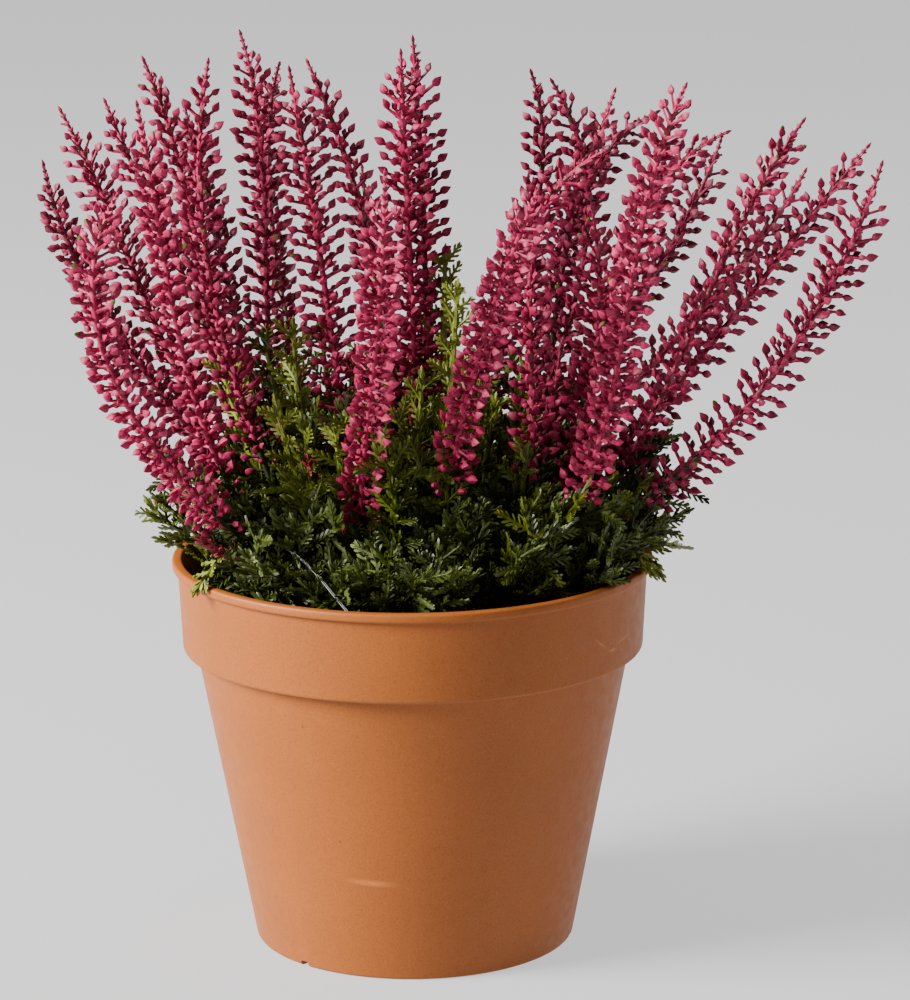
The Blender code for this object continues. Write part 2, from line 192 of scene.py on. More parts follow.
class Tree:
    """A material's node tree, with short ways to add nodes to it."""

    noise_low: float = 0.3
    noise_high: float = 0.7

    def __init__(self, name: str) -> None:
        """Start a material with one Principled shader.

        Args:
            name: the material's name.
        """
        self.material = bpy.data.materials.new(name)
        self.material.use_nodes = True
        self.nodes = self.material.node_tree.nodes
        self.links = self.material.node_tree.links
        self.shader = self.nodes["Principled BSDF"]
        self.place = self.nodes.new("ShaderNodeTexCoord").outputs["Object"]

    def noise(self, size: float, detail: float = 2.0, stretch: Sequence[float] = (1, 1, 1)) -> Socket:
        """Add a noise whose patches have about a given size.

        Args:
            size: size of a patch in metres.
            detail: number of finer layers.
            stretch: factors on the three directions of the pattern.

        Returns:
            The noise's value output.
        """
        mapping = self.nodes.new("ShaderNodeMapping")
        mapping.inputs["Scale"].default_value = stretch
        pattern = self.nodes.new("ShaderNodeTexNoise")
        pattern.inputs["Scale"].default_value = 1.0 / size
        pattern.inputs["Detail"].default_value = detail
        self.links.new(self.place, mapping.inputs["Vector"])
        self.links.new(mapping.outputs["Vector"], pattern.inputs["Vector"])
        return pattern.outputs["Fac"]

    def ramp(self, value: Socket, stops: Sequence[tuple[float, Colour]]) -> Socket:
        """Turn a value into colours.

        Args:
            value: the output that carries the value.
            stops: pairs of a position and a linear colour.

        Returns:
            The colour output.
        """
        ramp = self.nodes.new("ShaderNodeValToRGB")
        band = ramp.color_ramp
        while len(band.elements) < len(stops):
            band.elements.new(0.5)
        for element, (position, colour) in zip(band.elements, stops):
            element.position = position
            element.color = (*colour[:3], 1.0)
        self.links.new(value, ramp.inputs["Fac"])
        return ramp.outputs["Color"]

    def blend(self, share: Paint, first: Paint, second: Paint, mode: str = "MIX") -> Socket:
        """Mix two colours, each of them plain or an output.

        Args:
            share: how much of the second colour shows, as a number or an output.
            first: the colour below.
            second: the colour on top.
            mode: the way they mix.

        Returns:
            The colour output.
        """
        node = self.nodes.new("ShaderNodeMix")
        node.data_type = "RGBA"
        node.blend_type = mode
        colours = [socket for socket in node.inputs if socket.type == "RGBA"]
        for target, value in zip((node.inputs["Factor"], *colours), (share, first, second)):
            if isinstance(value, Socket):
                self.links.new(value, target)
            elif isinstance(value, (int, float)):
                target.default_value = value
            else:
                target.default_value = (*value[:3], 1.0)
        return next(socket for socket in node.outputs if socket.type == "RGBA")

    def spread(self, value: Socket, low: float, high: float) -> Socket:
        """Spread the values that a noise mostly has over a range.

        Args:
            value: the noise's output.
            low: what a low value becomes.
            high: what a high value becomes.

        Returns:
            The value output.
        """
        node = self.nodes.new("ShaderNodeMapRange")
        node.inputs["From Min"].default_value = self.noise_low
        node.inputs["From Max"].default_value = self.noise_high
        node.inputs["To Min"].default_value = low
        node.inputs["To Max"].default_value = high
        self.links.new(value, node.inputs["Value"])
        return node.outputs["Result"]

    def spot(self, centre: Vector, turn: Sequence[float], size: Sequence[float]) -> Socket:
        """Add a soft spot, full in its middle and gone at its edge.

        Args:
            centre: its middle.
            turn: its turns about X, Y and Z in radians.
            size: half its extent along its own three directions.

        Returns:
            The value output.
        """
        mapping = self.nodes.new("ShaderNodeMapping")
        mapping.vector_type = "TEXTURE"
        mapping.inputs["Location"].default_value = centre
        mapping.inputs["Rotation"].default_value = turn
        mapping.inputs["Scale"].default_value = size
        ball = self.nodes.new("ShaderNodeTexGradient")
        ball.gradient_type = "SPHERICAL"
        self.links.new(self.place, mapping.inputs["Vector"])
        self.links.new(mapping.outputs["Vector"], ball.inputs["Vector"])
        return ball.outputs["Fac"]

    def times(self, value: Socket, factor: Union[Socket, float]) -> Socket:
        """Multiply a value and keep the result from 0 to 1.

        Args:
            value: the value.
            factor: a number or another value.

        Returns:
            The value output.
        """
        node = self.nodes.new("ShaderNodeMath")
        node.operation = "MULTIPLY"
        node.use_clamp = True
        self.links.new(value, node.inputs[0])
        if isinstance(factor, Socket):
            self.links.new(factor, node.inputs[1])
        else:
            node.inputs[1].default_value = factor
        return node.outputs["Value"]

    def bump(self, height: Socket, depth: float, strength: float, below: Socket | None = None) -> Socket:
        """Add a relief.

        Args:
            height: the pattern that is its height.
            depth: its full depth.
            strength: how strongly it shows, from 0 to 1.
            below: the relief on top of which it lies, if there is one.

        Returns:
            The normal output.
        """
        node = self.nodes.new("ShaderNodeBump")
        node.inputs["Strength"].default_value = strength
        node.inputs["Distance"].default_value = depth
        self.links.new(height, node.inputs["Height"])
        if below is not None:
            self.links.new(below, node.inputs["Normal"])
        return node.outputs["Normal"]


@dataclass(frozen=True)
class MouldedPlastic:
    """Small moulded pieces: one colour with faint paler and darker patches and a fine grain."""

    name: str
    colour: tuple[float, float, float]
    slot: Slot
    shade: float = 0.72
    light: float = 1.18
    roughness: tuple[float, float] = (0.42, 0.60)
    patch: float = 1.6 * MM
    patch_stops: tuple[float, float, float] = (0.32, 0.50, 0.68)
    grain: float = 0.22 * MM
    relief: float = 0.07 * MM
    relief_strength: float = 0.6
    gloss: float = 0.30

    def make(self) -> bpy.types.Material:
        """Make the material, or take the one that is already made.

        Returns:
            The material.
        """
        ready = bpy.data.materials.get(self.name)
        if ready:
            return ready
        tree = Tree(self.name)
        shader = tree.shader
        dark = [channel * self.shade for channel in self.colour]
        pale = [min(channel * self.light, 1.0) for channel in self.colour]
        patches = tree.noise(self.patch, 3.0)
        colour = tree.ramp(patches, tuple(zip(self.patch_stops, (dark, self.colour, pale))))
        relief = tree.bump(tree.noise(self.grain), self.relief, self.relief_strength)
        tree.links.new(colour, shader.inputs["Base Color"])
        tree.links.new(tree.spread(patches, *self.roughness), shader.inputs["Roughness"])
        tree.links.new(relief, shader.inputs["Normal"])
        shader.inputs["Specular IOR Level"].default_value = self.gloss
        tree.material.diffuse_color = (*self.colour, 1.0)
        return tree.material


@dataclass(frozen=True)
class Mark:
    """A scratch or a speck on the pot: its place, its two sizes, its tilt and how clear it is."""

    azimuth: float
    reach: float
    height: float
    along: float
    across: float
    tilt: float
    strength: float


@dataclass(frozen=True)
class PotPlastic:
    """Matte terracotta plastic with a fine speckle, a soft orange peel and a few rubbed places."""

    name: str = "terracotta_plastic"
    colour: tuple[float, float, float] = (0.293, 0.0748, 0.0068)
    fleck: tuple[float, float, float] = (0.247, 0.0612, 0.0046)
    pale: tuple[float, float, float] = (0.340, 0.0996, 0.0186)
    slot: Slot = Slot.POT
    scratches: tuple[Mark, ...] = (
        Mark(256.6, 45.2, 26.4, 8.0, 1.1, 2.0, 0.8), Mark(321.5, 58.1, 84.3, 3.6, 0.45, 34.0, 0.9),
        Mark(332.5, 58.1, 83.0, 4.6, 0.50, -8.0, 0.7), Mark(327.0, 58.1, 81.4, 2.2, 0.55, 0.0, 0.9))
    specks: tuple[Mark, ...] = (
        Mark(239.5, 52.7, 66.6, 0.5, 0.5, 0.0, 0.8), Mark(247.4, 47.0, 36.9, 0.5, 0.5, 0.0, 0.8))
    mark_depth: float = 4.0 * MM
    scratch_light: float = 1.25
    speck_light: float = 0.5
    speckle: float = 0.45 * MM
    shadow: float = 28.0 * MM
    shadow_light: float = 0.90
    rub: float = 9.0 * MM
    rub_share: float = 0.22
    streak: float = 1.2 * MM
    gloss_patch: float = 3.0 * MM
    roughness: tuple[float, float] = (0.47, 0.60)
    gloss: float = 0.3
    peel: float = 1.5 * MM
    peel_depth: float = 0.10 * MM
    peel_strength: float = 0.30
    grain: float = 0.30 * MM
    grain_depth: float = 0.05 * MM
    grain_strength: float = 0.45

    def make(self) -> bpy.types.Material:
        """Make the material.

        Returns:
            The material.
        """
        tree = Tree(self.name)
        shader = tree.shader
        tree.links.new(self.colour_of(tree), shader.inputs["Base Color"])
        roughness = tree.spread(tree.noise(self.gloss_patch, 4.0), *self.roughness)
        tree.links.new(roughness, shader.inputs["Roughness"])
        peel = tree.bump(tree.noise(self.peel), self.peel_depth, self.peel_strength)
        relief = tree.bump(tree.noise(self.grain), self.grain_depth, self.grain_strength, peel)
        tree.links.new(relief, shader.inputs["Normal"])
        shader.inputs["Specular IOR Level"].default_value = self.gloss
        tree.material.diffuse_color = (*self.colour, 1.0)
        return tree.material

    def colour_of(self, tree: Tree) -> Socket:
        """Lay the speckle, the wide shadows, the rubbed places, the scratches and the specks.

        Args:
            tree: the material's node tree.

        Returns:
            The colour output.
        """
        speckle = tree.ramp(tree.noise(self.speckle, 3.0),
                            ((0.36, self.fleck), (0.48, self.colour), (0.62, self.colour), (0.74, self.pale)))
        shadow = tree.ramp(tree.noise(self.shadow, 3.0),
                           ((0.3, [self.shadow_light] * 3), (0.7, [1.0] * 3)))
        colour = tree.blend(1.0, speckle, shadow, "MULTIPLY")
        rubbed = tree.ramp(tree.noise(self.rub, 5.0, (1.0, 1.0, 3.2)),
                           ((0.66, [0.0] * 3), (0.76, [self.rub_share] * 3)))
        colour = tree.blend(rubbed, colour, self.pale)
        streaks = tree.spread(tree.noise(self.streak, 3.0, (1.0, 1.0, 4.0)), 0.35, 1.0)
        for marks, paint, light in ((self.scratches, self.pale, self.scratch_light),
                                    (self.specks, self.fleck, self.speck_light)):
            tone = [channel * light for channel in paint]
            for mark in marks:
                centre = polar(mark.azimuth, mark.reach * MM, mark.height * MM)
                turn = (0.0, math.radians(mark.tilt), math.radians(mark.azimuth + 90.0))
                spot = tree.spot(centre, turn, (mark.along * MM, self.mark_depth, mark.across * MM))
                share = tree.times(tree.times(spot, streaks), 2.0 * mark.strength)
                colour = tree.blend(share, colour, tone)
        return colour


@dataclass(frozen=True)
class FillerFoam:
    """Rough dark filler with paler crumbs."""

    name: str = "dark_filler"
    slot: Slot = Slot.FILLER
    dark: tuple[float, float, float] = (0.008, 0.007, 0.005)
    middle: tuple[float, float, float] = (0.022, 0.018, 0.012)
    pale: tuple[float, float, float] = (0.060, 0.048, 0.030)
    crumb: float = 1.4 * MM
    relief: float = 0.8 * MM
    relief_strength: float = 0.9
    roughness: float = 0.92

    def make(self) -> bpy.types.Material:
        """Make the material.

        Returns:
            The material.
        """
        tree = Tree(self.name)
        crumbs = tree.noise(self.crumb, 5.0)
        colour = tree.ramp(crumbs, ((0.35, self.dark), (0.55, self.middle), (0.72, self.pale)))
        relief = tree.bump(crumbs, self.relief, self.relief_strength)
        tree.links.new(colour, tree.shader.inputs["Base Color"])
        tree.links.new(relief, tree.shader.inputs["Normal"])
        tree.shader.inputs["Roughness"].default_value = self.roughness
        return tree.material


@dataclass(frozen=True)
class BareWire:
    """Drawn metal wire or thread with a faint streak along it."""

    name: str
    colour: tuple[float, float, float]
    metallic: float
    roughness: float
    slot: Slot = Slot.STEM
    streak: float = 0.5 * MM
    streak_light: float = 0.7
    relief: float = 0.03 * MM
    relief_strength: float = 0.5

    def make(self) -> bpy.types.Material:
        """Make the material.

        Returns:
            The material.
        """
        tree = Tree(self.name)
        streaks = tree.noise(self.streak, 3.0)
        dark = [channel * self.streak_light for channel in self.colour]
        colour = tree.ramp(streaks, ((0.35, dark), (0.6, self.colour)))
        relief = tree.bump(streaks, self.relief, self.relief_strength)
        tree.links.new(colour, tree.shader.inputs["Base Color"])
        tree.links.new(relief, tree.shader.inputs["Normal"])
        tree.shader.inputs["Metallic"].default_value = self.metallic
        tree.shader.inputs["Roughness"].default_value = self.roughness
        return tree.material


def rose(name: str, colour: tuple[float, float, float]) -> MouldedPlastic:
    """Give the finish of one tone of the buds, with strong patches of a bud's size."""
    return MouldedPlastic(f"rose_{name}", colour, Slot.FLOWER, 0.62, 1.30, patch=0.85 * MM, gloss=0.24)


def leaf(name: str, colour: tuple[float, float, float], gloss: float) -> MouldedPlastic:
    """Give the finish of one tone of the needles, which are smoother than the rest."""
    return MouldedPlastic(f"leaf_{name}", colour, Slot.FOLIAGE, roughness=(0.34, 0.50), gloss=gloss)


class Rose(Enum):
    """The tones of the flower spikes: a middle tone, a lighter copy that paints light on the front spikes and
    a darker copy that paints shade on those behind.
    """

    BRIGHT = rose("bright", (0.310, 0.0142, 0.060))
    MIDDLE = rose("middle", (0.236, 0.0104, 0.0445))
    DEEP = rose("deep", (0.160, 0.0070, 0.0302))


class Leaf(Enum):
    """The tones of the foliage: yellow-green, cool green and dark ones, and the blush of a few tips."""

    LIME = leaf("lime", (0.157, 0.178, 0.020), 0.28)
    FRESH = leaf("fresh", (0.063, 0.076, 0.0032), 0.26)
    PALE = leaf("pale", (0.134, 0.158, 0.050), 0.28)
    COOL = leaf("cool", (0.050, 0.066, 0.0085), 0.26)
    DARK = leaf("dark", (0.0255, 0.0340, 0.0012), 0.26)
    BLUSH = MouldedPlastic("leaf_blush", (0.200, 0.020, 0.034), Slot.FOLIAGE, gloss=0.20)


STEM_GREEN = MouldedPlastic("stem_green", (0.020, 0.022, 0.004), Slot.STEM)
BRACT_OLIVE = MouldedPlastic("bract_olive", (0.050, 0.042, 0.006), Slot.FLOWER)
SOCKET_GREEN = MouldedPlastic("socket_green", (0.018, 0.022, 0.007), Slot.STEM)
Finish = Union[MouldedPlastic, PotPlastic, FillerFoam, BareWire]


# Ways to make pieces

def finish_object(name: str, mesh: bpy.types.Mesh, finish: Finish) -> bpy.types.Object:
    """Put a mesh into the scene as a piece that rides with the pot.

    Args:
        name: the piece's name.
        mesh: its mesh, in place.
        finish: the finish, which names its slot.

    Returns:
        The piece.
    """
    mesh.materials.clear()
    mesh.materials.append(finish.make())
    piece = bpy.data.objects.new(name, mesh)
    bpy.context.scene.collection.objects.link(piece)
    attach(piece, BODY)
    return piece


def shade(mesh: bpy.types.Mesh, degrees: float) -> None:
    """Shade a mesh smooth, apart from edges that turn by more than an angle."""
    mesh.shade_smooth()
    mesh.set_sharp_from_angle(angle=math.radians(degrees))


def rounded(corners: Sequence[Sequence[float]], steps: int = 4) -> list[tuple[float, float]]:
    """Round the corners of an outline.

    Args:
        corners: radius, height and rounding of each corner.
        steps: number of short runs on each rounded corner.

    Returns:
        The outline's points as radius and height.
    """
    out = []
    for index, (radius, height, size) in enumerate(corners):
        here = Vector((radius, height))
        if not size or index in (0, len(corners) - 1):
            out.append((radius, height))
            continue
        before = Vector(corners[index - 1][:2])
        after = Vector(corners[index + 1][:2])
        start = here + (before - here).normalized() * size
        end = here + (after - here).normalized() * size
        for step in range(steps + 1):
            t = step / steps
            point = start.lerp(here, t).lerp(here.lerp(end, t), t)
            out.append((point.x, point.y))
    return out


def turned(outline: Sequence[tuple[float, float]], steps: int) -> bmesh.types.BMesh:
    """Turn an outline of radius and height, which starts and ends on the axis, round the upright axis.

    Args:
        outline: the points of the outline.
        steps: number of sides.

    Returns:
        The closed shape.
    """
    bm = bmesh.new()
    verts = [bm.verts.new((radius, 0.0, height)) for radius, height in outline]
    edges = [bm.edges.new(pair) for pair in zip(verts, verts[1:])]
    bmesh.ops.spin(bm, geom=verts + edges, cent=(0, 0, 0), axis=(0, 0, 1), dvec=(0, 0, 0),
                   angle=math.tau, steps=steps, use_merge=True, use_duplicate=False)
    bmesh.ops.remove_doubles(bm, verts=bm.verts, dist=WELD)
    bmesh.ops.recalc_face_normals(bm, faces=bm.faces)
    return bm


def spindle(profile: Sequence[tuple[float, float]], sides: int, hollow: float = 1.0) -> bmesh.types.BMesh:
    """Raise a closed spindle of unit length along +Z, pointed at both ends.

    Args:
        profile: height and radius of each ring between the two points.
        sides: number of sides.
        hollow: radius of every second corner, as a share; under 1 it leaves ridges between.

    Returns:
        The spindle.
    """
    bm = bmesh.new()
    ring = bmesh.ops.create_circle(bm, cap_ends=False, radius=1.0, segments=sides)["verts"]
    for vert in ring[1::2]:
        vert.co *= hollow
    start_edges = list(bm.edges)
    foot = bmesh.ops.extrude_edge_only(bm, edges=start_edges)["geom"]
    foot_verts = [item for item in foot if isinstance(item, bmesh.types.BMVert)]
    height, radius = profile[0]
    first = Matrix.Translation((0, 0, height)) @ Matrix.Diagonal((radius, radius, 1, 1))
    bmesh.ops.transform(bm, matrix=first, verts=ring)
    bmesh.ops.pointmerge(bm, verts=foot_verts, merge_co=(0, 0, 0))
    edges = start_edges
    for (low, wide), (high, narrow) in zip(profile, list(profile[1:]) + [(1.0, 0.0)]):
        raised = bmesh.ops.extrude_edge_only(bm, edges=edges)["geom"]
        verts = [item for item in raised if isinstance(item, bmesh.types.BMVert)]
        edges = [item for item in raised if isinstance(item, bmesh.types.BMEdge)]
        if narrow:
            grow = Matrix.Diagonal((narrow / wide, narrow / wide, 1, 1))
            bmesh.ops.transform(bm, matrix=Matrix.Translation((0, 0, high - low)) @ grow, verts=verts)
        else:
            bmesh.ops.pointmerge(bm, verts=verts, merge_co=(0, 0, high))
    bmesh.ops.recalc_face_normals(bm, faces=bm.faces)
    return bm


@dataclass(frozen=True)
class Shape:
    """A small closed shape kept as arrays, ready to be set down many times."""

    points: np.ndarray
    corners: np.ndarray
    counts: np.ndarray

    @classmethod
    def of(cls, bm: bmesh.types.BMesh) -> "Shape":
        """Take over a bmesh and free it.

        Args:
            bm: the bmesh.

        Returns:
            The shape.
        """
        bm.verts.index_update()
        points = np.array([vert.co for vert in bm.verts], dtype=np.float64)
        corners = np.array([vert.index for face in bm.faces for vert in face.verts], dtype=np.int32)
        counts = np.array([len(face.verts) for face in bm.faces], dtype=np.int32)
        bm.free()
        return cls(points, corners, counts)


@dataclass
class Swarm:
    """Many copies of small shapes, joined into one piece."""

    name: str
    finish: MouldedPlastic
    sharp: float = 50.0
    places: dict[int, list[tuple[float, ...]]] = field(default_factory=dict)
    shapes: dict[int, Shape] = field(default_factory=dict)

    def add(self, shape: Shape, foot: Vector, axis: Vector, side: Vector, length: float, width: float,
            depth: float) -> None:
        """Set down one copy of a shape.

        Args:
            shape: the shape, one unit long along its own +Z.
            foot: where the shape's origin goes.
            axis: unit direction of its length.
            side: unit direction of its width, square to the axis.
            length: its length.
            width: its width.
            depth: its depth, square to both.
        """
        third = axis.cross(side)
        key = id(shape)
        self.shapes[key] = shape
        self.places.setdefault(key, []).append((
            side.x * width, third.x * depth, axis.x * length, foot.x,
            side.y * width, third.y * depth, axis.y * length, foot.y,
            side.z * width, third.z * depth, axis.z * length, foot.z))

    def build(self) -> bpy.types.Object | None:
        """Join all copies into one piece.

        Returns:
            The piece, or nothing if there are no copies.
        """
        points, corners, counts = [], [], []
        offset = 0
        for key, rows in self.places.items():
            shape = self.shapes[key]
            moves = np.array(rows).reshape(-1, 3, 4)
            placed = np.einsum("nij,vj->nvi", moves[:, :, :3], shape.points) + moves[:, None, :, 3]
            points.append(placed.reshape(-1, 3))
            starts = offset + np.arange(len(rows)) * len(shape.points)
            corners.append((starts[:, None] + shape.corners[None, :]).ravel())
            counts.append(np.tile(shape.counts, len(rows)))
            offset += len(rows) * len(shape.points)
        if not points:
            return None
        every_point, every_corner = np.concatenate(points), np.concatenate(corners)
        every_count = np.concatenate(counts)
        mesh = bpy.data.meshes.new(self.name)
        mesh.vertices.add(len(every_point))
        mesh.vertices.foreach_set("co", every_point.astype(np.float32).ravel())
        mesh.loops.add(len(every_corner))
        mesh.polygons.add(len(every_count))
        loop_starts = np.concatenate(([0], np.cumsum(every_count)[:-1]))
        mesh.polygons.foreach_set("loop_start", loop_starts.astype(np.int32))
        mesh.polygons.foreach_set("vertices", every_corner.astype(np.int32))
        mesh.update(calc_edges=True)
        shade(mesh, self.sharp)
        piece = finish_object(self.name, mesh, self.finish)
        LOG.info("%s: %d copies, %d triangles", self.name, sum(map(len, self.places.values())),
                 int((every_count - 2).sum()))
        return piece


@dataclass
class Rods:
    """Tapered round rods along lines, joined into one piece."""

    name: str
    finish: Finish
    fineness: int = 2
    sharp: float = 45.0
    runs: list[tuple[list[Vector], list[float]]] = field(default_factory=list)

    def add(self, points: Iterable[Vector], radii: Iterable[float]) -> None:
        """Add one rod.

        Args:
            points: the points that it follows.
            radii: its radius at each point.
        """
        self.runs.append((list(points), list(radii)))

    def build(self) -> bpy.types.Object:
        """Make all rods as one curve and turn it into a mesh.

        Returns:
            The piece.
        """
        curve = bpy.data.curves.new(self.name + "_line", "CURVE")
        curve.dimensions = "3D"
        curve.bevel_depth = MM
        curve.bevel_resolution = self.fineness
        curve.use_fill_caps = True
        for points, radii in self.runs:
            spline = curve.splines.new("POLY")
            spline.points.add(len(points) - 1)
            spline.points.foreach_set("co", [value for point in points for value in (*point, 1.0)])
            spline.points.foreach_set("radius", [radius / MM for radius in radii])
        maker = bpy.data.objects.new(self.name + "_line", curve)
        bpy.context.scene.collection.objects.link(maker)
        bpy.context.view_layer.update()
        mesh = bpy.data.meshes.new_from_object(maker.evaluated_get(bpy.context.evaluated_depsgraph_get()))
        bpy.data.objects.remove(maker, do_unlink=True)
        mesh.name = self.name
        shade(mesh, self.sharp)
        piece = finish_object(self.name, mesh, self.finish)
        LOG.info("%s: %d rods, %d faces", self.name, len(self.runs), len(mesh.polygons))
        return piece


# The pot and what fills it

@dataclass
class Pot:
    """A thin moulded nursery pot: tapered body, stepped collar, rolled lip and drain notches."""

    height: float = 98.2 * MM
    wall: float = 1.2 * MM
    floor: float = 2.0 * MM
    base_radius: float = 40.1 * MM
    body_top_radius: float = 54.3 * MM
    collar_bottom_z: float = 75.4 * MM
    collar_bottom_radius: float = 57.6 * MM
    collar_top_radius: float = 58.6 * MM
    lip_radius: float = 60.0 * MM
    lip_bottom_z: float = 95.9 * MM
    edge_round: float = 0.9 * MM
    lip_round: float = 0.75 * MM
    crease_round: float = 0.45 * MM
    step_lip: float = 0.01 * MM
    sides: int = 224
    sharp: float = 32.0
    notch_azimuths: tuple[int, ...] = (227, 347, 107)
    notch_width: float = 2.6 * MM
    notch_height: float = 1.4 * MM
    notch_depth: float = 3.0 * MM
    notch_round: float = 0.6 * MM
    foliage_low: float = 60.0 * MM

    @property
    def step_z(self) -> float:
        """Give the height of the step inside the pot."""
        return self.collar_bottom_z + self.wall

    def inner_radius(self, height: float) -> float:
        """Give the radius of the pot's inside.

        Args:
            height: height above the underside.

        Returns:
            The radius.
        """
        if height >= self.step_z:
            share = (height - self.step_z) / (self.height - self.step_z)
            return mix(self.collar_bottom_radius, self.collar_top_radius, share) - self.wall
        share = (height - self.floor) / (self.step_z - self.floor)
        return mix(self.base_radius, self.body_top_radius, share) - self.wall

    def leaves_room(self, point: Vector, margin: float) -> bool:
        """Tell whether a point of the foliage keeps clear of the pot.

        Args:
            point: the point.
            margin: the way that it has to keep to the wall and the lip.

        Returns:
            Whether it does.
        """
        reach = math.hypot(point.x, point.y)
        if point.z > self.height + margin or reach > self.lip_radius + margin:
            return True
        return point.z > self.foliage_low and reach < self.inner_radius(point.z) - margin

    def build(self) -> None:
        """Turn the pot, cut its notches and dress it."""
        step, edge, lip, crease = self.step_z, self.edge_round, self.lip_round, self.crease_round
        corners = (
            (0, 0, 0), (self.base_radius, 0, edge), (self.body_top_radius, self.collar_bottom_z, crease),
            (self.collar_bottom_radius, self.collar_bottom_z, edge),
            (self.collar_top_radius, self.lip_bottom_z, crease), (self.lip_radius, self.lip_bottom_z, lip),
            (self.lip_radius, self.height, lip), (self.collar_top_radius - self.wall, self.height, lip),
            (self.collar_bottom_radius - self.wall, step, crease),
            (self.inner_radius(step - self.step_lip), step, crease),
            (self.inner_radius(self.floor), self.floor, edge), (0, self.floor, 0))
        mesh = bpy.data.meshes.new("pot_shell")
        bm = turned(rounded(corners), self.sides)
        bm.to_mesh(mesh)
        bm.free()
        piece = finish_object("pot_shell", mesh, PotPlastic())
        for azimuth in self.notch_azimuths:
            self.cut_notch(piece, azimuth)
        shade(piece.data, self.sharp)
        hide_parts("pot")
        LOG.info("pot_shell: %d faces", len(piece.data.polygons))

    def cut_notch(self, piece: bpy.types.Object, azimuth: int) -> None:
        """Cut one drain notch with a rounded top into the lower edge.

        Args:
            piece: the pot.
            azimuth: direction of the notch in degrees.
        """
        bm = bmesh.new()
        size = Matrix.Diagonal((2 * self.notch_depth, self.notch_width, 2 * self.notch_height, 1.0))
        place = Matrix.Translation(polar(azimuth, self.base_radius, 0))
        turn = Matrix.Rotation(math.radians(azimuth), 4, "Z")
        bmesh.ops.create_cube(bm, size=1.0, matrix=place @ turn @ size)
        inward = polar(azimuth, 1.0, 0)
        top = [edge for edge in bm.edges
               if all(vert.co.z > 0 for vert in edge.verts)
               and abs((edge.verts[1].co - edge.verts[0].co).normalized().dot(inward)) > 0.9]
        bmesh.ops.bevel(bm, geom=top, offset=self.notch_round, affect="EDGES", segments=3, profile=0.5,
                        material=-1)
        mesh = bpy.data.meshes.new("notch_cutter")
        bm.to_mesh(mesh)
        bm.free()
        cutter = bpy.data.objects.new("notch_cutter", mesh)
        bpy.context.scene.collection.objects.link(cutter)
        cut = piece.modifiers.new("notch", "BOOLEAN")
        cut.operation = "DIFFERENCE"
        cut.solver = "EXACT"
        cut.object = cutter
        bpy.context.view_layer.update()
        result = bpy.data.meshes.new_from_object(piece.evaluated_get(bpy.context.evaluated_depsgraph_get()))
        piece.modifiers.clear()
        result.name = "pot_shell"
        piece.data = result
        bpy.data.objects.remove(cutter, do_unlink=True)


@dataclass
class Filler:
    """The dark plug that holds the stems, with a crumbly top."""

    pot: Pot
    top: float = 74.0 * MM
    gap: float = 0.3 * MM
    shoulder: float = 2.0 * MM
    rings: int = 26
    sides: int = 96
    crumb: float = 0.7 * MM
    crumb_size: float = 3.2 * MM
    top_layer: float = 0.1 * MM
    sharp: float = 60.0

    def build(self) -> None:
        """Turn the plug, roughen its top and dress it."""
        bottom = self.pot.floor + self.gap
        edge = self.pot.inner_radius(self.top) - self.gap
        outline = [(0.0, bottom), (self.pot.inner_radius(bottom) - self.gap, bottom)]
        outline.append((self.pot.inner_radius(self.top - self.shoulder) - self.gap, self.top - self.shoulder))
        flat = edge - self.shoulder
        outline += [(flat * (1 - ring / self.rings), self.top) for ring in range(self.rings + 1)]
        bm = turned(outline, self.sides)
        for vert in bm.verts:
            if vert.co.z > self.top - self.top_layer:
                vert.co.z -= self.crumb * (0.6 + 0.6 * noise.fractal(vert.co / self.crumb_size, 1.0, 2.0, 4))
        mesh = bpy.data.meshes.new("filler_plug")
        bm.to_mesh(mesh)
        bm.free()
        shade(mesh, self.sharp)
        piece = finish_object("filler_plug", mesh, FillerFoam())
        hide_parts("filler")
        LOG.info("filler_plug: %d faces", len(mesh.polygons))


